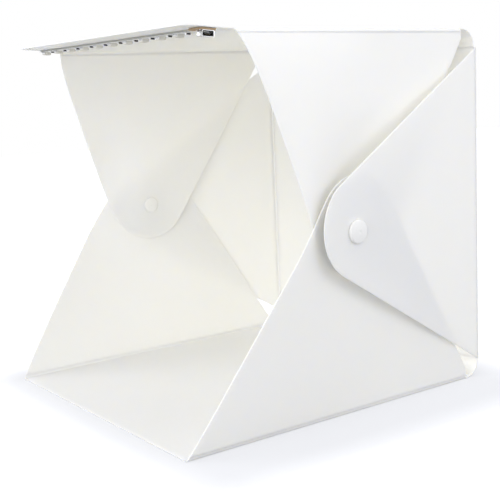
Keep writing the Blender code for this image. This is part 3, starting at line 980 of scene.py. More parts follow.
@dataclass(frozen=True)
class Spring:
    """How far one side's wings spring out in front of their snap, as the photo's edges show them."""

    lower_bulge: Bulge
    upper_bulge: Bulge
    held_radius: float = 5.5 * MM
    fade_reach: float = 55 * MM
    near: float = 10 * MM
    far: float = 80 * MM
    contact: float = 1.0 * MM
    easing: float = 0.4 * MM

    def fade(self, point: Vector, snap: Vector, end: float) -> float:
        """Find what share of the springing is left at a point, none of it at and behind the snap.

        Args:
            point: The point.
            snap: The snap's place.
            end: How far in front of the snap all of it is there.

        Returns:
            A share from 0 to 1, which starts further back where the snap is far above or below.
        """
        loose = smooth_step(abs(point.z - snap.z), self.near, self.far)
        return smooth_step(point.y, snap.y - self.held_radius + self.fade_reach * loose, snap.y - end)

    def lower(self, point: Vector, tent: Tent) -> float:
        """Find how far outward the lower wing is sprung at a point."""
        return self.lower_bulge.at(point.z) * self.fade(point, tent.snap, self.lower_bulge.fade_end)

    def upper(self, point: Vector, tent: Tent) -> float:
        """Find how far outward the upper wing is sprung at a point, as far as the lower one lets it."""
        bulge = self.upper_bulge
        free = bulge.at(tent.height - point.z) * self.fade(point, tent.snap, bulge.fade_end)
        lean = tent.lean(Side.RIGHT, Layer.LOWER)
        wall = tent.half_width + math.tan(lean) * point.z + self.lower(point, tent)
        room = wall - self.contact - abs(point.x)
        # The smaller of the two, with an eased change from one to the other
        return -self.easing * math.log(math.exp(-free / self.easing) + math.exp(-room / self.easing))


SPRINGS = {
    Side.RIGHT: Spring(Bulge(1.2 * MM, 10 * MM, 0.047, 48 * MM), Bulge(10.2 * MM, 16 * MM, 0.0, 40 * MM)),
    Side.LEFT: Spring(Bulge(5.5 * MM, 15 * MM, 0.055, 55 * MM), Bulge(10.5 * MM, 12 * MM, 0.01, 40 * MM)),
}


class FoldedSheet:
    """The one plastic sheet: floor, rear wall, roof with its lip, four wings, two flaps and their creases."""

    def __init__(self, tent: Tent, plastic: bpy.types.Material) -> None:
        """Keep the sizes and the plastic.

        Args:
            tent: The box's sizes.
            plastic: The sheet's material.
        """
        self.tent = tent
        self.plastic = plastic

    def piece(self, name: str, shape: Shape, *nodes: str) -> bpy.types.Object:
        """Finish one stretch of the sheet."""
        return finish_piece(name, shape, [self.plastic], nodes)

    def flat(
        self, outline: list[Point2], place: Matrix, shown: RimTest | None = None, fineness: float = 1.0
    ) -> Shape:
        """Make a flat stretch of the sheet.

        Args:
            outline: Its outer face, anticlockwise as seen from outside.
            place: Sets its X, Y and outward Z in the row frame.
            shown: Says whether a rim point shows.
            fineness: How many times finer than usual its cells are.

        Returns:
            The stretch with its wall.
        """
        shape = cut_panel(outline, self.tent.cell / fineness)
        bmesh.ops.transform(shape, matrix=place, verts=shape.verts[:])
        shape.normal_update()
        thicken(shape, self.tent.sheet, self.tent.rim_ease, shown)
        return shape

    def build(self) -> None:
        """Build every stretch of the sheet."""
        self.build_floor()
        self.build_rear()
        self.build_roof()
        self.build_bends()
        for side in Side:
            self.build_side_panel(side, Layer.LOWER, SPRINGS[side].lower)
            self.build_side_panel(side, Layer.UPPER, SPRINGS[side].upper)
            self.build_side_panel(side, Layer.FLAP)

    def build_floor(self) -> None:
        """Build the floor, between its side creases and the rear bend."""
        tent = self.tent
        half = tent.half_width - tent.inset(Layer.LOWER)
        mirrored = Matrix.Diagonal((-1, 1, -1, 1))
        outline = rectangle(half, tent.front, tent.crease_end)
        shape = self.flat(outline, mirrored, lambda p: p.y <= tent.front + tent.sheet)
        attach(self.piece("floor_sheet", shape, "base_panel"), "base")

    def build_rear(self) -> None:
        """Build the rear wall, between its bends and the flaps' creases."""
        tent = self.tent
        half = tent.rear_half_width - tent.inset(Layer.FLAP)
        upright = Matrix(((-1, 0, 0, 0), (0, 0, 1, tent.rear), (0, 1, 0, 0), (0, 0, 0, 1)))
        outline = rectangle(half, tent.flap_end_setback, tent.height - tent.flap_end_setback)
        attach(self.piece("rear_sheet", self.flat(outline, upright), "back_panel"), "back")

    def build_roof(self) -> None:
        """Build the roof between its creases, and the lip in front of them, which is tipped up a little."""
        tent = self.tent
        half = tent.roof_half_width - tent.inset(Layer.UPPER)
        raised = Matrix.Translation((0, 0, tent.height))
        shape = self.flat(rectangle(half, tent.roof_front, tent.crease_end), raised)
        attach(self.piece("roof_sheet", shape, "top_panel"), "top")
        inner = tent.roof_front - tent.sheet
        lip = self.flat(
            self.lip_outline(),
            tent.lip_turn @ raised,
            lambda p: p.y < inner or abs(p.x) > half,
            tent.lip_fineness,
        )
        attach(self.piece("roof_lip", lip), "top")

    def lip_outline(self) -> list[Point2]:
        """Find the outline of the lip laid level, with its round front corners."""
        tent = self.tent
        corner = tent.lip_corner
        half = tent.roof_half_width
        front = tent.roof_front - tent.lip_reach / math.cos(math.radians(tent.lip_tilt_deg))
        outline = []
        for sign, start in ((-1, math.pi), (1, math.pi * 1.5)):
            centre = Vector((sign * (half - corner), front + corner))
            outline += arc(centre, corner, start, math.pi / 2, LIP_CORNER_STEPS)
        return outline + [Vector((half, tent.roof_front)), Vector((-half, tent.roof_front))]

    def build_bends(self) -> None:
        """Build the two wide bends that join the rear wall to the floor and the roof."""
        tent = self.tent
        across = Vector((1, 0, 0))
        forward = Vector((0, -1, 0))
        leads = (tent.crease_end_setback - tent.bend_radius, tent.flap_end_setback - tent.bend_radius)
        for name, body, height, up, half in (
            ("rear_bend_low", "base", 0.0, Vector((0, 0, 1)), tent.half_width),
            ("rear_bend_high", "top", tent.height, Vector((0, 0, -1)), tent.roof_half_width),
        ):
            crease = Crease(Vector((0, tent.rear, height)), across, forward, up, tent.bend_radius)
            shape = crease.strip(-half, half, leads, tent.cell)
            thicken(shape, tent.sheet, tent.rim_ease, lambda p, half=half: abs(p.x) > half - WELD)
            piece = self.piece(name, shape)
            if body == "base":
                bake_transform(piece)
            else:
                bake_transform(piece)

    def build_side_panel(self, side: Side, layer: Layer, bow: Bow | None = None) -> None:
        """Build a wing or flap, and the crease that it hangs from.

        Args:
            side: The side of the box.
            layer: Which wing or flap.
            bow: How far it is sprung out.
        """
        tent = self.tent
        node = layer.node(side)
        body = layer.body(side)
        crease = tent.crease(side, layer)
        outline = tent.outline(side, layer)
        begin = crease.setback + tent.crease_lead
        shape = cut_panel(outline, tent.cell)
        cut_off(shape, Vector((0, begin, 0)), Vector((0, -1, 0)))
        if layer is not Layer.FLAP:
            cut_off(shape, Vector((tent.crease_end, 0, 0)), Vector((1, 0, 0)))
        bmesh.ops.transform(shape, matrix=crease.second_plane, verts=shape.verts[:])
        face_towards(shape, Vector((side.value, 0, 0)))
        self.spring(shape, side, bow)
        # The rim where the crease goes on doesn't show, a level line on a wing and an upright one on a flap
        foot = crease.corner + crease.second * begin
        axis = 1 if layer is Layer.FLAP else 2
        thicken(shape, tent.sheet, tent.rim_ease, lambda p: abs(p[axis] - foot[axis]) > tent.sheet / 2)
        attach(self.piece(f"{node}_sheet", shape, node), body)
        strip = self.side_strip(layer, crease, outline)
        self.spring(strip, side, bow)
        thicken(strip, tent.sheet)
        piece = self.piece(f"{node}_crease", strip)
        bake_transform(piece)

    def side_strip(self, layer: Layer, crease: Crease, outline: list[Point2]) -> Shape:
        """Make the bent strip of a wing's or flap's crease, a wing's cut at its front along the wing's edge.

        Args:
            layer: Which wing or flap.
            crease: Its crease.
            outline: Its outline.

        Returns:
            The strip's outer surface.
        """
        tent = self.tent
        start = outline[0].x
        leads = (tent.crease_lead, tent.crease_lead)
        if layer is Layer.FLAP:
            return crease.strip(start, outline[1].x, leads, tent.cell)
        shape = crease.strip(start, tent.crease_end, leads, tent.cell)
        slope = outline[-1] - outline[0]
        rise = slope.x if layer is Layer.LOWER else -slope.x
        cut_off(shape, Vector((0, start, crease.corner.z)), Vector((0, -slope.y, rise)))
        return shape

    def spring(self, shape: Shape, side: Side, bow: Bow | None) -> None:
        """Bow a stretch of a side wall outward as the sprung sheet does, where it is a wing's."""
        if bow is None:
            return
        for vert in shape.verts:
            vert.co.x += side.value * bow(vert.co, self.tent)
        shape.normal_update()


def rectangle(half: float, low: float, high: float) -> list[Point2]:
    """Find a rectangle's outline, anticlockwise, with its middle at X 0."""
    return [Vector(point) for point in ((-half, low), (half, low), (half, high), (-half, high))]


# Snap fasteners


@dataclass(frozen=True)
class SnapPiece:
    """One turned piece of a snap: its node's stem, its layer and the outline that it is turned from."""

    stem: str
    layer: Layer
    inside: bool
    posted: bool
    outline: Callable[["Snap", float], list[Corner]]


@dataclass(frozen=True)
class Snap:
    """A side's snap, six acetal pieces in a row through flap, lower wing and upper wing."""

    side: Side
    sheet: float
    gap: float = 0.3 * MM
    flange: float = 0.6 * MM
    flange_radius: float = 5.2 * MM
    cap_radius: float = 7.3 * MM
    button_radius: float = 6.0 * MM
    bore: float = 1.6 * MM
    pin: float = 1.12 * MM
    post: float = 1.3 * MM
    knob: float = 3.0 * MM
    mouth: float = 3.5 * MM
    mouth_lip: float = 0.288 * MM
    riveted: float = 2.3 * MM
    riveted_height: float = 0.3 * MM
    edge: float = 0.18 * MM
    shoulder: float = 0.35 * MM
    brow: float = 0.95 * MM
    brow_share: float = 0.75
    dome_inset: float = 1.0925 * MM
    dome_share: float = 0.2
    dome_steps: int = 8
    gate: float = 0.9 * MM
    gate_floor: float = 0.675 * MM
    gate_depth: float = 0.14 * MM
    sides: int = 64

    @property
    def through(self) -> float:
        """How far a packed post reaches below the layer's face."""
        return self.sheet + self.gap + self.flange / 2

    @property
    def floor(self) -> float:
        """How high a flange's outer face is."""
        return self.gap + self.flange

    def swaged_post(self) -> list[Corner]:
        """Outline a post whose end was spread over the flange behind the layer, from the axis out."""
        seat = -(self.sheet + self.gap + self.flange + WELD)
        end = seat - self.riveted_height
        return [
            (0, end, 0),
            (self.riveted, end, self.edge / 2),
            (self.riveted, seat, self.edge / 2),
            (self.post, seat, 0),
            (self.post, self.gap, 0),
        ]

    def crown(self, radius: float, rise: float) -> list[Corner]:
        """Outline a low dome with an upright rim, a round shoulder and a moulding gate's dimple.

        Args:
            radius: The rim's radius.
            rise: How high it stands.

        Returns:
            The outline from the rim's foot in to the axis.
        """
        top = self.gap + rise
        inner = radius - self.dome_inset
        drop = rise * self.dome_share
        ball = (inner * inner + drop * drop) / (2 * drop)
        slope = inner / math.sqrt(ball * ball - inner * inner)
        corner = top - drop - (radius - inner) * slope
        brow = min(self.brow, (corner - self.gap) * self.brow_share)
        outline = [(radius, self.gap, self.edge), (radius, corner, brow)]
        for step in range(self.dome_steps + 1):
            across = inner + (self.gate - inner) * step / self.dome_steps
            outline.append((across, top - ball + math.sqrt(ball * ball - across * across), 0))
        bottom = top - self.gate_depth
        return outline + [(self.gate_floor, bottom, 0), (0, bottom, 0)]

    def cap(self, height: float) -> list[Corner]:
        """Outline the cap that shows on the flap."""
        return self.swaged_post() + self.crown(self.cap_radius, height - self.gap)

    def button(self, height: float) -> list[Corner]:
        """Outline the low button inside the box."""
        return self.swaged_post() + self.crown(self.button_radius, height - self.gap)

    def socket(self, height: float) -> list[Corner]:
        """Outline a socket, whose mouth has a lip that the knob clicks past."""
        narrow = self.mouth - self.edge
        wide = self.mouth + self.edge / 2
        return [
            (self.bore, self.gap, 0),
            (self.flange_radius, self.gap, self.edge),
            (self.flange_radius, height, self.shoulder),
            (narrow, height, self.edge / 2),
            (narrow, height - self.edge, 0),
            (wide, height - self.mouth_lip, 0),
            (wide, self.floor, 0),
            (self.bore, self.floor, 0),
            (self.bore, self.gap, 0),
        ]

    def head(self, height: float) -> list[Corner]:
        """Outline a stud's knob, waist and flange, from the pin down to the flange's underside."""
        waist = self.knob - self.edge
        return [
            (self.pin, height, self.edge / 2),
            (waist, height, self.edge),
            (self.knob, (self.floor + height) / 2, 0),
            (waist, self.floor, 0),
            (self.flange_radius, self.floor, self.edge),
            (self.flange_radius, self.gap, self.edge),
        ]

    def stud(self, height: float) -> list[Corner]:
        """Outline the stud with a post of its own."""
        dimple = height - self.edge
        return [(0, dimple, 0), (self.pin, dimple, 0)] + self.head(height) + self.swaged_post()[::-1]

    def ring_stud(self, height: float) -> list[Corner]:
        """Outline the stud that the inner button's post holds."""
        return [(self.pin, self.gap, 0)] + self.head(height) + [(self.pin, self.gap, 0)]

    def build(self, tent: Tent, frame: dict[str, Any], acetal: bpy.types.Material) -> None:
        """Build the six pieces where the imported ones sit.

        Args:
            tent: The box's sizes.
            frame: The loaded frame.
            acetal: The snap's material.
        """
        outward = Vector((self.side.value, 0, 0))
        for kind in SNAP_PIECES:
            node = f"{kind.stem}_{self.side.word}"
            away = tent.crease(self.side, kind.layer).second
            axis = (outward - away * outward.dot(away)).normalized() * (-1 if kind.inside else 1)
            turn = axis.to_track_quat("Z", "Y").to_matrix().to_4x4()
            low, high, mean = mesh_span(node, frame, turn.inverted())
            face = low.z + (self.through if kind.posted else -self.gap)
            shape = turned(soften(kind.outline(self, high.z - face)), self.sides)
            place = turn @ Matrix.Translation((mean.x, mean.y, face))
            bmesh.ops.transform(shape, matrix=place, verts=shape.verts[:])
            piece = finish_piece(f"{node}_moulded", shape, [acetal], (node,))
            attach(piece, kind.layer.body(self.side))


SNAP_PIECES = (
    SnapPiece("snap_cap", Layer.FLAP, False, True, Snap.cap),
    SnapPiece("snap_flap_socket", Layer.FLAP, True, False, Snap.socket),
    SnapPiece("snap_lower_stud", Layer.LOWER, False, True, Snap.stud),
    SnapPiece("snap_lower_socket", Layer.LOWER, True, False, Snap.socket),
    SnapPiece("snap_upper_stud", Layer.UPPER, False, False, Snap.ring_stud),
    SnapPiece("snap_inner_cap", Layer.UPPER, True, True, Snap.button),
)


# Light strip and power inlet, built level and then tipped up with the lip


@dataclass(frozen=True)
class LampForm:
    """A lamp's own form, in lengths and in shares of half its packed width and length."""

    squareness: float = 14.0
    foot: Pair = (0.96, 0.9)
    waist: Pair = (1.0, 0.94)
    face: Pair = (0.95, 0.9)
    well_mouth: float = 0.8
    well_floor: float = 0.7
    well_depth: float = 0.35 * MM
    lead_pitch: float = 1.6 * MM
    lead_half: float = 0.42 * MM
    lead_root: float = 0.88
    lead_out: float = 0.15 * MM
    lead_drop: float = 0.1 * MM
    lead_ease: float = 0.05 * MM

    def lead_places(self, middle: float) -> list[float]:
        """Find where along the strip the three leads of a side are."""
        return [middle + step * self.lead_pitch for step in (-1, 0, 1)]


@dataclass(frozen=True)
class ResistorForm:
    """A chip resistor's wrapped ends and its dark body, which stops inside them: black glaze on top and
    painted shade on the sides.
    """

    band: float = 0.36 * MM
    glaze_inset: float = 0.216 * MM
    proud: float = 0.05 * MM
    glaze_ease: float = 0.09 * MM
    band_ease: float = 0.08 * MM


@dataclass(frozen=True)
class Joint:
    """A pad and its solder at a part's end: how far out each is from the end, and how large."""

    pad_out: float
    pad_width: float
    pad_length: float
    solder_out: float
    solder_width: float


@dataclass(frozen=True)
class StripForm:
    """What is printed, etched and soldered on the strip."""

    foil: float = 0.04 * MM
    rail_offset: float = 2.2 * MM
    lamp_joint: Joint = Joint(0.3 * MM, 1.1 * MM, 1.6 * MM, 0.12 * MM, 0.8 * MM)
    resistor_joint: Joint = Joint(0.1 * MM, 1.9 * MM, 1.5 * MM, -0.05 * MM, 1.4 * MM)
    solder_length: float = 0.5 * MM
    solder_height: float = 0.4 * MM
    solder_slope: float = 0.32 * MM
    cut_every: int = 3
    cut_ahead: float = 5 * MM
    cut_half: float = 0.09 * MM
    cut_inset: float = 0.2 * MM
    ink: float = 0.02 * MM
    cut_pad_aside: float = 1.3 * MM
    cut_pad: Pair = (1.6 * MM, 2.0 * MM)
    end_pad_inset: float = 1.2 * MM
    end_pad: Pair = (1.8 * MM, 2.4 * MM)


@dataclass(frozen=True)
class BoardForm:
    """The inlet board's pads, the socket's pins and tabs on it, and the solder that joins it to the strip."""

    ease: float = 0.08 * MM
    pad: Span = (0.3 * MM, 2.9 * MM)
    pad_half: float = 1.2 * MM
    pin_half: float = 0.16 * MM
    pin_reach: Span = (-1.2 * MM, 0.2 * MM)
    pin_drop: float = 0.2 * MM
    pin_ease: float = 0.05 * MM
    tab_insets: Pair = (1.3 * MM, 1.6 * MM)
    tab_half: float = 0.6 * MM
    tab_reach: Span = (-0.1 * MM, 0.9 * MM)
    tab_drop: float = 0.35 * MM
    tab_ease: float = 0.12 * MM
    joint_drop: float = 0.1 * MM
    joint_points: int = 16
    # Each section's place along and up, and half its width and height
    joint_sections: tuple[tuple[float, float, float, float], ...] = (
        (-2.0 * MM, 0.15 * MM, 0.5 * MM, 0.1 * MM),
        (-1.3 * MM, 0.1 * MM, 0.85 * MM, 0.3 * MM),
        (0.0, 0.0, 0.95 * MM, 0.5 * MM),
        (1.4 * MM, -0.1 * MM, 0.85 * MM, 0.45 * MM),
        (2.3 * MM, -0.15 * MM, 0.5 * MM, 0.15 * MM),
    )


@dataclass(frozen=True)
class SocketForm:
    """The power socket's folded shell with its flared mouth, and the moulded core with its tongue."""

    squareness: float = 8.0
    shell_points: int = 48
    core_points: int = 32
    wall: float = 0.3 * MM
    mouth_wall: float = 0.24 * MM
    flare: float = 0.25 * MM
    half_flare: float = 0.175 * MM
    flare_start: float = 0.5 * MM
    flare_bend: float = 0.15 * MM
    seam_inset: float = 0.1 * MM
    seam_half: float = 0.05 * MM
    seam_depth: Span = (-0.03 * MM, 0.05 * MM)
    core_depth: float = 1.5 * MM
    tongue_root: float = 1.35 * MM
    tongue_half: Pair = (2.2 * MM, 0.35 * MM)
    tongue_ease: float = 0.1 * MM
    contact_pitch: float = 0.65 * MM
    contact_half: float = 0.17 * MM
    contact_face: Span = (-0.38 * MM, -0.3 * MM)
    contact_inset: float = 0.3 * MM

    def contact_places(self, middle: float) -> list[float]:
        """Find where across the socket its five contacts and their pins are."""
        return [middle + step * self.contact_pitch for step in range(-2, 3)]


class LightStrip:
    """The light under the lip: flexible circuit, lamps, resistors and the power inlet on its little board."""

    LAMP_COUNT = 10
    LAMP = LampForm()
    RESISTOR = ResistorForm()
    STRIP = StripForm()
    BOARD = BoardForm()
    SOCKET = SocketForm()

    def __init__(self, tent: Tent, frame: dict[str, Any], finishes: dict[str, bpy.types.Material]) -> None:
        """Keep what the pieces need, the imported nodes' spans laid level.

        Args:
            tent: The box's sizes.
            frame: The loaded frame.
            finishes: The materials by name.
        """
        self.tent = tent
        self.finishes = finishes
        level = tent.lip_turn.inverted()
        self.spans = {}
        for row in frame["record"]["subparts"]:
            if row["node"].startswith(("led_", "inlet_", "strip_")):
                self.spans[row["node"]] = mesh_span(row["node"], frame, level)[:2]
        strip_low, strip_high = self.spans["led_strip"]
        self.face = strip_low.z
        self.rails = around((strip_low.y + strip_high.y) / 2, self.STRIP.rail_offset)

    def piece(self, name: str, shape: Shape, finishes: tuple[str, ...], slot: str, *nodes: str) -> None:
        """Tip a level piece up with the lip and let it ride on the roof.

        Args:
            name: The piece's name.
            shape: Its mesh.
            finishes: Its materials' names, in the order of its faces' indices.
            slot: The record's material slot; not used.
            nodes: The nodes that it replaces.
        """
        bmesh.ops.transform(shape, matrix=self.tent.lip_turn, verts=shape.verts[:])
        materials = [self.finishes[finish] for finish in finishes]
        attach(finish_piece(name, shape, materials, nodes), "top")

    def build(self) -> None:
        """Build every piece of the light."""
        for number in range(1, self.LAMP_COUNT + 1):
            self.build_lamp(number)
            self.build_resistor(number)
        self.build_strip_face()
        self.build_board()
        self.build_board_joints()
        self.build_shell()
        self.build_core()

    def build_lamp(self, number: int) -> None:
        """Build a lamp: white housing, phosphor in a round well, and three tinned leads on each long side.

        Args:
            number: Which lamp, from the left.
        """
        form = self.LAMP
        node = f"led_chip_{number:02d}"
        low, high = self.spans[node]
        middle = (low + high) / 2
        half = (high - low) / 2
        wide = Vector((half.x, 0, 0))
        long = Vector((0, half.y, 0))
        deep = Vector((0, half.x, 0))
        seat = Vector((middle.x, middle.y, self.face))
        front = Vector((middle.x, middle.y, low.z))
        well = front + Vector((0, 0, form.well_depth))
        rings = [
            ring(seat, wide * form.foot[0], long * form.foot[1], form.squareness),
            ring(middle, wide * form.waist[0], long * form.waist[1], form.squareness),
            ring(front, wide * form.face[0], long * form.face[1], form.squareness),
            ring(front, wide * form.well_mouth, deep * form.well_mouth),
            ring(well, wide * form.well_floor, deep * form.well_floor),
        ]
        shape = bmesh.new()
        loft(shape, rings, materials=(0, 0, 0, 0, 1))
        for sign in (-1, 1):
            root = middle.y + sign * half.y * form.lead_root
            end = middle.y + sign * (half.y + form.lead_out)
            for x in form.lead_places(middle.x):
                spans = (around(x, form.lead_half), (root, end), (middle.z - form.lead_drop, self.face))
                add_block(shape, spans, 2, form.lead_ease)
        self.piece(f"lamp_{number:02d}", shape, ("housing", "phosphor", "tin"), "led_package", node)

    def build_resistor(self, number: int) -> None:
        """Build a chip resistor: a body dark all over, its black glaze real on top and painted shade on the
        sides, with narrow wrapped tin ends.

        Args:
            number: Which resistor, from the left.
        """
        form = self.RESISTOR
        node = f"led_resistor_{number:02d}"
        low, high = self.spans[node]
        shape = bmesh.new()
        across = (low.x + form.proud, high.x - form.proud)
        along = (low.y + form.glaze_inset, high.y - form.glaze_inset)
        # One dark block for the whole body: the glaze on top, and painted shade on the sides
        add_block(shape, (across, along, (low.z + form.proud, self.face)), 0, form.glaze_ease)
        for band in ((low.y, low.y + form.band), (high.y - form.band, high.y)):
            add_block(shape, ((low.x, high.x), band, (low.z, self.face)), 1, form.band_ease)
        self.piece(f"resistor_{number:02d}", shape, ("glaze_painted_shade", "tin"), "resistor", node)

    def add_pad(self, shape: Shape, x: float, y: float, width: float, length: float) -> None:
        """Add one tinned copper pad to the strip's face, a foil's thickness proud."""
        height = (self.face - self.STRIP.foil, self.face)
        add_block(shape, (around(x, width / 2), around(y, length / 2), height))

    def add_joint(self, pads: Shape, solder: Shape, x: float, edge: float, out: int, joint: Joint) -> None:
        """Add a pad, and a wedge of solder that climbs from it to a part's end.

        Args:
            pads: The mesh that gets the pad.
            solder: The mesh that gets the solder.
            x: Their middle along the strip.
            edge: Where the part ends in Y.
            out: Which way along Y they run out.
            joint: Their sizes.
        """
        form = self.STRIP
        self.add_pad(pads, x, edge + out * joint.pad_out, joint.pad_width, joint.pad_length)
        y = edge + out * joint.solder_out
        run = (y, y + out * form.solder_length)
        height = (self.face - form.solder_height, self.face)
        corners = add_block(solder, (around(x, joint.solder_width / 2), run, height))
        outer = [corner for corner in corners if abs(corner.co.y - y) > form.solder_length / 2]
        low = [corner for corner in outer if corner.co.z < self.face - form.solder_height / 2]
        bmesh.ops.translate(solder, vec=(0, 0, form.solder_slope), verts=low)

    def build_strip_face(self) -> None:
        """Build the pads and the solder of lamps and resistors, and the cut marks with their bare pads."""
        form = self.STRIP
        pads = bmesh.new()
        solder = bmesh.new()
        marks = bmesh.new()
        strip_low, strip_high = self.spans["led_strip"]
        for number in range(1, self.LAMP_COUNT + 1):
            low, high = self.spans[f"led_chip_{number:02d}"]
            for out, edge in ((-1, low.y), (1, high.y)):
                for x in self.LAMP.lead_places((low.x + high.x) / 2):
                    self.add_joint(pads, solder, x, edge, out, form.lamp_joint)
            low, high = self.spans[f"led_resistor_{number:02d}"]
            x = (low.x + high.x) / 2
            for out, edge in ((-1, low.y), (1, high.y)):
                self.add_joint(pads, solder, x, edge, out, form.resistor_joint)
            if number % form.cut_every == 0:
                cut = x + form.cut_ahead
                across = (strip_low.y + form.cut_inset, strip_high.y - form.cut_inset)
                add_block(marks, (around(cut, form.cut_half), across, (self.face - form.ink, self.face)))
                for place in around(cut, form.cut_pad_aside):
                    for rail in self.rails:
                        self.add_pad(pads, place, rail, *form.cut_pad)
        for rail in self.rails:
            self.add_pad(pads, strip_high.x - form.end_pad_inset, rail, *form.end_pad)
        self.piece("strip_pads", pads, ("tin",), "flex_circuit")
        self.piece("strip_solder", solder, ("tin",), "flex_circuit")
        self.piece("strip_cut_marks", marks, ("ink",), "flex_circuit")

    def build_board(self) -> None:
        """Build the inlet's board, with its pads and the socket's pins and tabs."""
        form = self.BOARD
        low, high = self.spans["inlet_board"]
        shell_low, shell_high = self.spans["inlet_shell"]
        under = low.z
        shape = bmesh.new()
        add_block(shape, ((low.x, high.x), (low.y, high.y), (low.z, high.z)), 0, form.ease)
        for rail in self.rails:
            along = (low.x + form.pad[0], low.x + form.pad[1])
            add_block(shape, (along, around(rail, form.pad_half), (under - self.STRIP.foil, under)), 1)
        for y in self.SOCKET.contact_places((shell_low.y + shell_high.y) / 2):
            along = (shell_low.x + form.pin_reach[0], shell_low.x + form.pin_reach[1])
            spans = (along, around(y, form.pin_half), (under - form.pin_drop, under))
            add_block(shape, spans, 1, form.pin_ease)
        for edge, out in ((shell_low.y, -1), (shell_high.y, 1)):
            across = (edge + out * form.tab_reach[0], edge + out * form.tab_reach[1])
            for x in (shell_low.x + form.tab_insets[0], shell_high.x - form.tab_insets[1]):
                spans = (around(x, form.tab_half), across, (under - form.tab_drop, under))
                add_block(shape, spans, 1, form.tab_ease)
        self.piece("inlet_laminate", shape, ("laminate", "tin"), "board", "inlet_board")

    def build_board_joints(self) -> None:
        """Build the two runs of solder that join the strip to the board."""
        form = self.BOARD
        low = self.spans["inlet_board"][0]
        strip_end = self.spans["led_strip"][1].x
        shape = bmesh.new()
        for rail in self.rails:
            middle = Vector(((strip_end + low.x) / 2, rail, (self.face + low.z) / 2 - form.joint_drop))
            rings = []
            for x, z, wide, tall in form.joint_sections:
                centre = middle + Vector((x, 0, z))
                across = Vector((0, wide, 0))
                rings.append(ring(centre, across, Vector((0, 0, tall)), count=form.joint_points))
            loft(shape, rings)
        self.piece("inlet_joints", shape, ("tin",), "board")

    def build_shell(self) -> None:
        """Build the power socket's folded steel shell, with its flared mouth and its seam."""
        form = self.SOCKET
        low, high = self.spans["inlet_shell"]
        middle = (low + high) / 2
        half = (high - low) / 2
        bend = high.x - form.flare_bend
        start = high.x - form.flare_start
        rings = []
        for x, grown in (
            (low.x, 0.0),
            (start, 0.0),
            (bend, form.half_flare),
            (high.x, form.flare),
            (high.x, form.flare - form.mouth_wall),
            (bend, form.half_flare - form.wall),
            (start, -form.wall),
            (low.x, -form.wall),
        ):
            across = Vector((0, half.y + grown, 0))
            up = Vector((0, 0, half.z + grown))
            centre = Vector((x, middle.y, middle.z))
            rings.append(ring(centre, across, up, form.squareness, form.shell_points))
        shape = bmesh.new()
        loft(shape, rings, closed=True)
        # The edges of the folded strip meet in a seam on the side away from the board
        depth = (low.z + form.seam_depth[0], low.z + form.seam_depth[1])
        add_block(shape, ((low.x + form.seam_inset, start), around(middle.y, form.seam_half), depth), 1)
        self.piece("inlet_jacket", shape, ("steel", "ink"), "socket_shell", "inlet_shell")

    def build_core(self) -> None:
        """Build the power socket's moulded block, its tongue and the contacts on it."""
        form = self.SOCKET
        low, high = self.spans["inlet_insert"]
        middle = (low + high) / 2
        half = (high - low) / 2
        across = Vector((0, half.y, 0))
        up = Vector((0, 0, half.z))
        rings = []
        for x in (low.x, low.x + form.core_depth):
            centre = Vector((x, middle.y, middle.z))
            rings.append(ring(centre, across, up, form.squareness, form.core_points))
        shape = bmesh.new()
        loft(shape, rings)
        wide, thick = form.tongue_half
        along = (low.x + form.tongue_root, high.x)
        add_block(shape, (along, around(middle.y, wide), around(middle.z, thick)), 0, form.tongue_ease)
        along = (low.x + form.core_depth, high.x - form.contact_inset)
        face = (middle.z + form.contact_face[0], middle.z + form.contact_face[1])
        for y in form.contact_places(middle.y):
            add_block(shape, (along, around(y, form.contact_half), face), 1)
        self.piece("inlet_core", shape, ("insert", "gold"), "socket_insert", "inlet_insert")


# Studio


@dataclass(frozen=True)
class PhotoCamera:
    """The camera that the photograph was taken with, as far as the box's corners tell."""

    place: Vector = field(default_factory=lambda: Vector((0.56564, -0.39783, 0.20546)))
    azimuth_deg: float = 54.231
    elevation_deg: float = 8.943
    roll_deg: float = -2.549
    focal_pixels: float = 980.07
    sensor_width_mm: float = 36.0
    clip_start: float = 10 * MM

    def build(self) -> None:
        """Make the camera and use it."""
        camera = bpy.data.cameras.new("photo_camera")
        camera.sensor_width = self.sensor_width_mm
        camera.lens = self.focal_pixels * self.sensor_width_mm / FRAME_WIDTH
        camera.clip_start = self.clip_start
        stand = bpy.data.objects.new("photo_camera", camera)
        turn = Matrix.Rotation(math.radians(self.azimuth_deg), 4, "Z")
        tip = Matrix.Rotation(math.radians(90 - self.elevation_deg), 4, "X")
        roll = Matrix.Rotation(math.radians(self.roll_deg), 4, "Z")
        stand.matrix_world = Matrix.Translation(self.place) @ turn @ tip @ roll
        bpy.context.scene.collection.objects.link(stand)
        bpy.context.scene.camera = stand


@dataclass(frozen=True)
class SoftBox:
    """A square lamp behind a diffuser, its power in watts."""

    name: str
    place: tuple[float, float, float]
    power: float
    side: float = 1.4
    aim: tuple[float, float, float] = (0, 0, 0.12)

    def build(self) -> None:
        """Hang the lamp, turned towards the middle of the box."""
        lamp = bpy.data.lights.new(self.name, "AREA")
        lamp.shape = "SQUARE"
        lamp.size = self.side
        lamp.energy = self.power
        holder = bpy.data.objects.new(self.name, lamp)
        holder.location = self.place
        beam = Vector(self.aim) - Vector(self.place)
        holder.rotation_euler = beam.to_track_quat("-Z", "Y").to_euler()
        bpy.context.scene.collection.objects.link(holder)


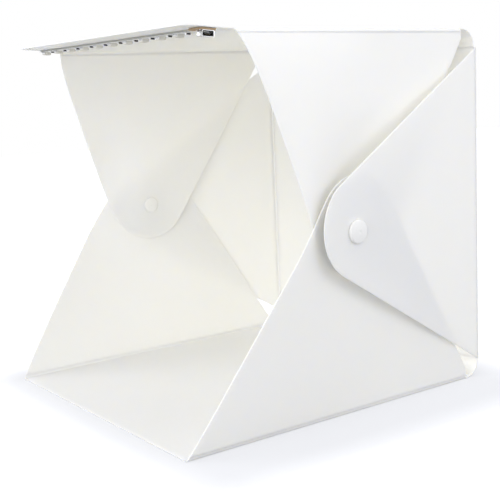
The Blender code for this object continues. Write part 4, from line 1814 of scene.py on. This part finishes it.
@dataclass(frozen=True)
class Studio:
    """A pale table that runs out into a white cove, under soft lamps, with a painted shadow round the box."""

    table_half: float = 3.0
    table_colour: str = "#A6A8AE"
    # Painted shadow: near the box the lens sees only this much glow, in a rectangle set off to the right,
    # rising to full over the reach
    table_glow: float = 0.5
    glow_centre: tuple[float, float, float] = (15 * MM, 5 * MM, 0)
    glow_half: tuple[float, float, float] = (128 * MM, 118 * MM, 0)
    glow_reach: float = 80 * MM
    sky_colour: str = "#FCFCFF"
    sky_strength: float = 0.72
    cove_colour: str = "#FFFFFF"
    wall_bounces: int = 8
    lamps: tuple[SoftBox, ...] = (
        SoftBox("key_lamp", (0.3, 0.6, 2.0), 5.0, 1.2),
        SoftBox("front_lamp", (0.95, -1.65, 0.7), 12.5),
        SoftBox("left_lamp", (-1.45, -1.35, 0.85), 17.5),
        SoftBox("rear_lamp", (0.0, 1.9, 0.6), 4.0),
        SoftBox("right_lamp", (1.5, 1.2, 0.4), 10.0),
    )

    def build(self) -> None:
        """Make the table, the world and the lamps."""
        self.build_table()
        self.build_world()
        for lamp in self.lamps:
            lamp.build()
        scene = bpy.context.scene
        scene.view_settings.view_transform = "Standard"
        # White walls that face each other pass light on more often than Cycles follows it by default
        scene.cycles.diffuse_bounces = self.wall_bounces

    def build_table(self) -> None:
        """Make the table top."""
        shape = bmesh.new()
        bmesh.ops.create_grid(shape, x_segments=1, y_segments=1, size=self.table_half)
        mesh = bpy.data.meshes.new("table")
        shape.to_mesh(mesh)
        shape.free()
        mesh.materials.append(self.table_material())
        table = bpy.data.objects.new("table", mesh)
        bpy.context.scene.collection.objects.link(table)

    def table_material(self) -> bpy.types.Material:
        """Make matt laminate, which the lens sees brighten away from the box until it is the cove's white;
        the dimmer glow near the box is a painted shadow over the lit one, set off to the right.
        """
        recipe = Recipe("matt_white_laminate")
        tree = recipe.tree
        # How far a point lies outside the rectangle that the box and its painted shadow stand on
        arrow = recipe.place
        for operation, values in (
            ("SUBTRACT", {1: self.glow_centre}),
            ("ABSOLUTE", {}),
            ("SUBTRACT", {1: self.glow_half}),
            ("MAXIMUM", {1: (0, 0, 0)}),
        ):
            arrow = add_node(tree, "VectorMath", {0: arrow, **values}, operation=operation).outputs["Vector"]
        away = add_node(tree, "VectorMath", {0: arrow}, operation="LENGTH").outputs["Value"]
        # Lens-seen glow, dimmed near the box as a painted shadow
        range_values = {"Value": away, "From Max": self.glow_reach, "To Min": self.table_glow}
        level = add_node(tree, "MapRange", range_values, interpolation_type="SMOOTHSTEP")
        seen = seen_by_lens(tree)
        glow = add_node(tree, "Math", {0: seen, 1: level.outputs["Result"]}, operation="MULTIPLY")
        lift = add_node(tree, "Emission", {"Strength": glow.outputs[0]})
        both = add_node(tree, "AddShader", {0: recipe.shader.outputs[0], 1: lift.outputs[0]})
        feed(tree, tree.nodes["Material Output"], {"Surface": both.outputs[0]})
        return recipe.finish(
            {"Base Color": linear(self.table_colour), "Roughness": 1.0, "Specular IOR Level": 0.0}
        )

    def build_world(self) -> None:
        """Light the scene from all round, and show plain white behind it."""
        world = bpy.data.worlds.new("white_cove")
        bpy.context.scene.world = world
        world.use_nodes = True
        tree = world.node_tree
        tree.nodes.clear()
        lit = add_node(tree, "Background", {"Color": linear(self.sky_colour), "Strength": self.sky_strength})
        shown = add_node(tree, "Background", {"Color": linear(self.cove_colour), "Strength": 1.0})
        mix = add_node(tree, "MixShader", {0: seen_by_lens(tree), 1: lit.outputs[0], 2: shown.outputs[0]})
        add_node(tree, "OutputWorld", {"Surface": mix.outputs[0]})


def seen_by_lens(tree: bpy.types.NodeTree) -> Socket:
    """Tell rays that the lens sees, straight or by gloss or glass, from those that only carry light."""
    rays = add_node(tree, "LightPath").outputs
    gloss = {0: rays["Is Camera Ray"], 1: rays["Is Glossy Ray"]}
    either = add_node(tree, "Math", gloss, operation="MAXIMUM")
    glass = {0: either.outputs[0], 1: rays["Is Transmission Ray"]}
    return add_node(tree, "Math", glass, operation="MAXIMUM").outputs[0]


def dress_nodes(finishes: dict[str, bpy.types.Material], frame: dict[str, Any]) -> None:
    """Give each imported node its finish.

    Args:
        finishes: The materials by name.
        frame: The loaded frame.
    """
    for row in frame["record"]["subparts"]:
        node = frame["nodes"][row["node"]]
        node.data.materials.clear()
        node.data.materials.append(finishes[SLOT_FINISHES[row["material_slot"]]])


def main() -> None:
    """Dress the tent and set up the studio."""
    logging.basicConfig(level=logging.INFO, format="%(name)s %(message)s")
    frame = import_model()
    PhotoCamera().build()
    Studio().build()
    finishes = {name: finish.build() for name, finish in FINISHES.items()}
    dress_nodes(finishes, frame)
    tent = Tent.from_frame(frame)
    FoldedSheet(tent, finishes["sheet"]).build()
    for side in Side:
        Snap(side, tent.sheet).build(tent, frame, finishes["acetal"])
    LightStrip(tent, frame, finishes).build()


if __name__ == "__main__":
    main()
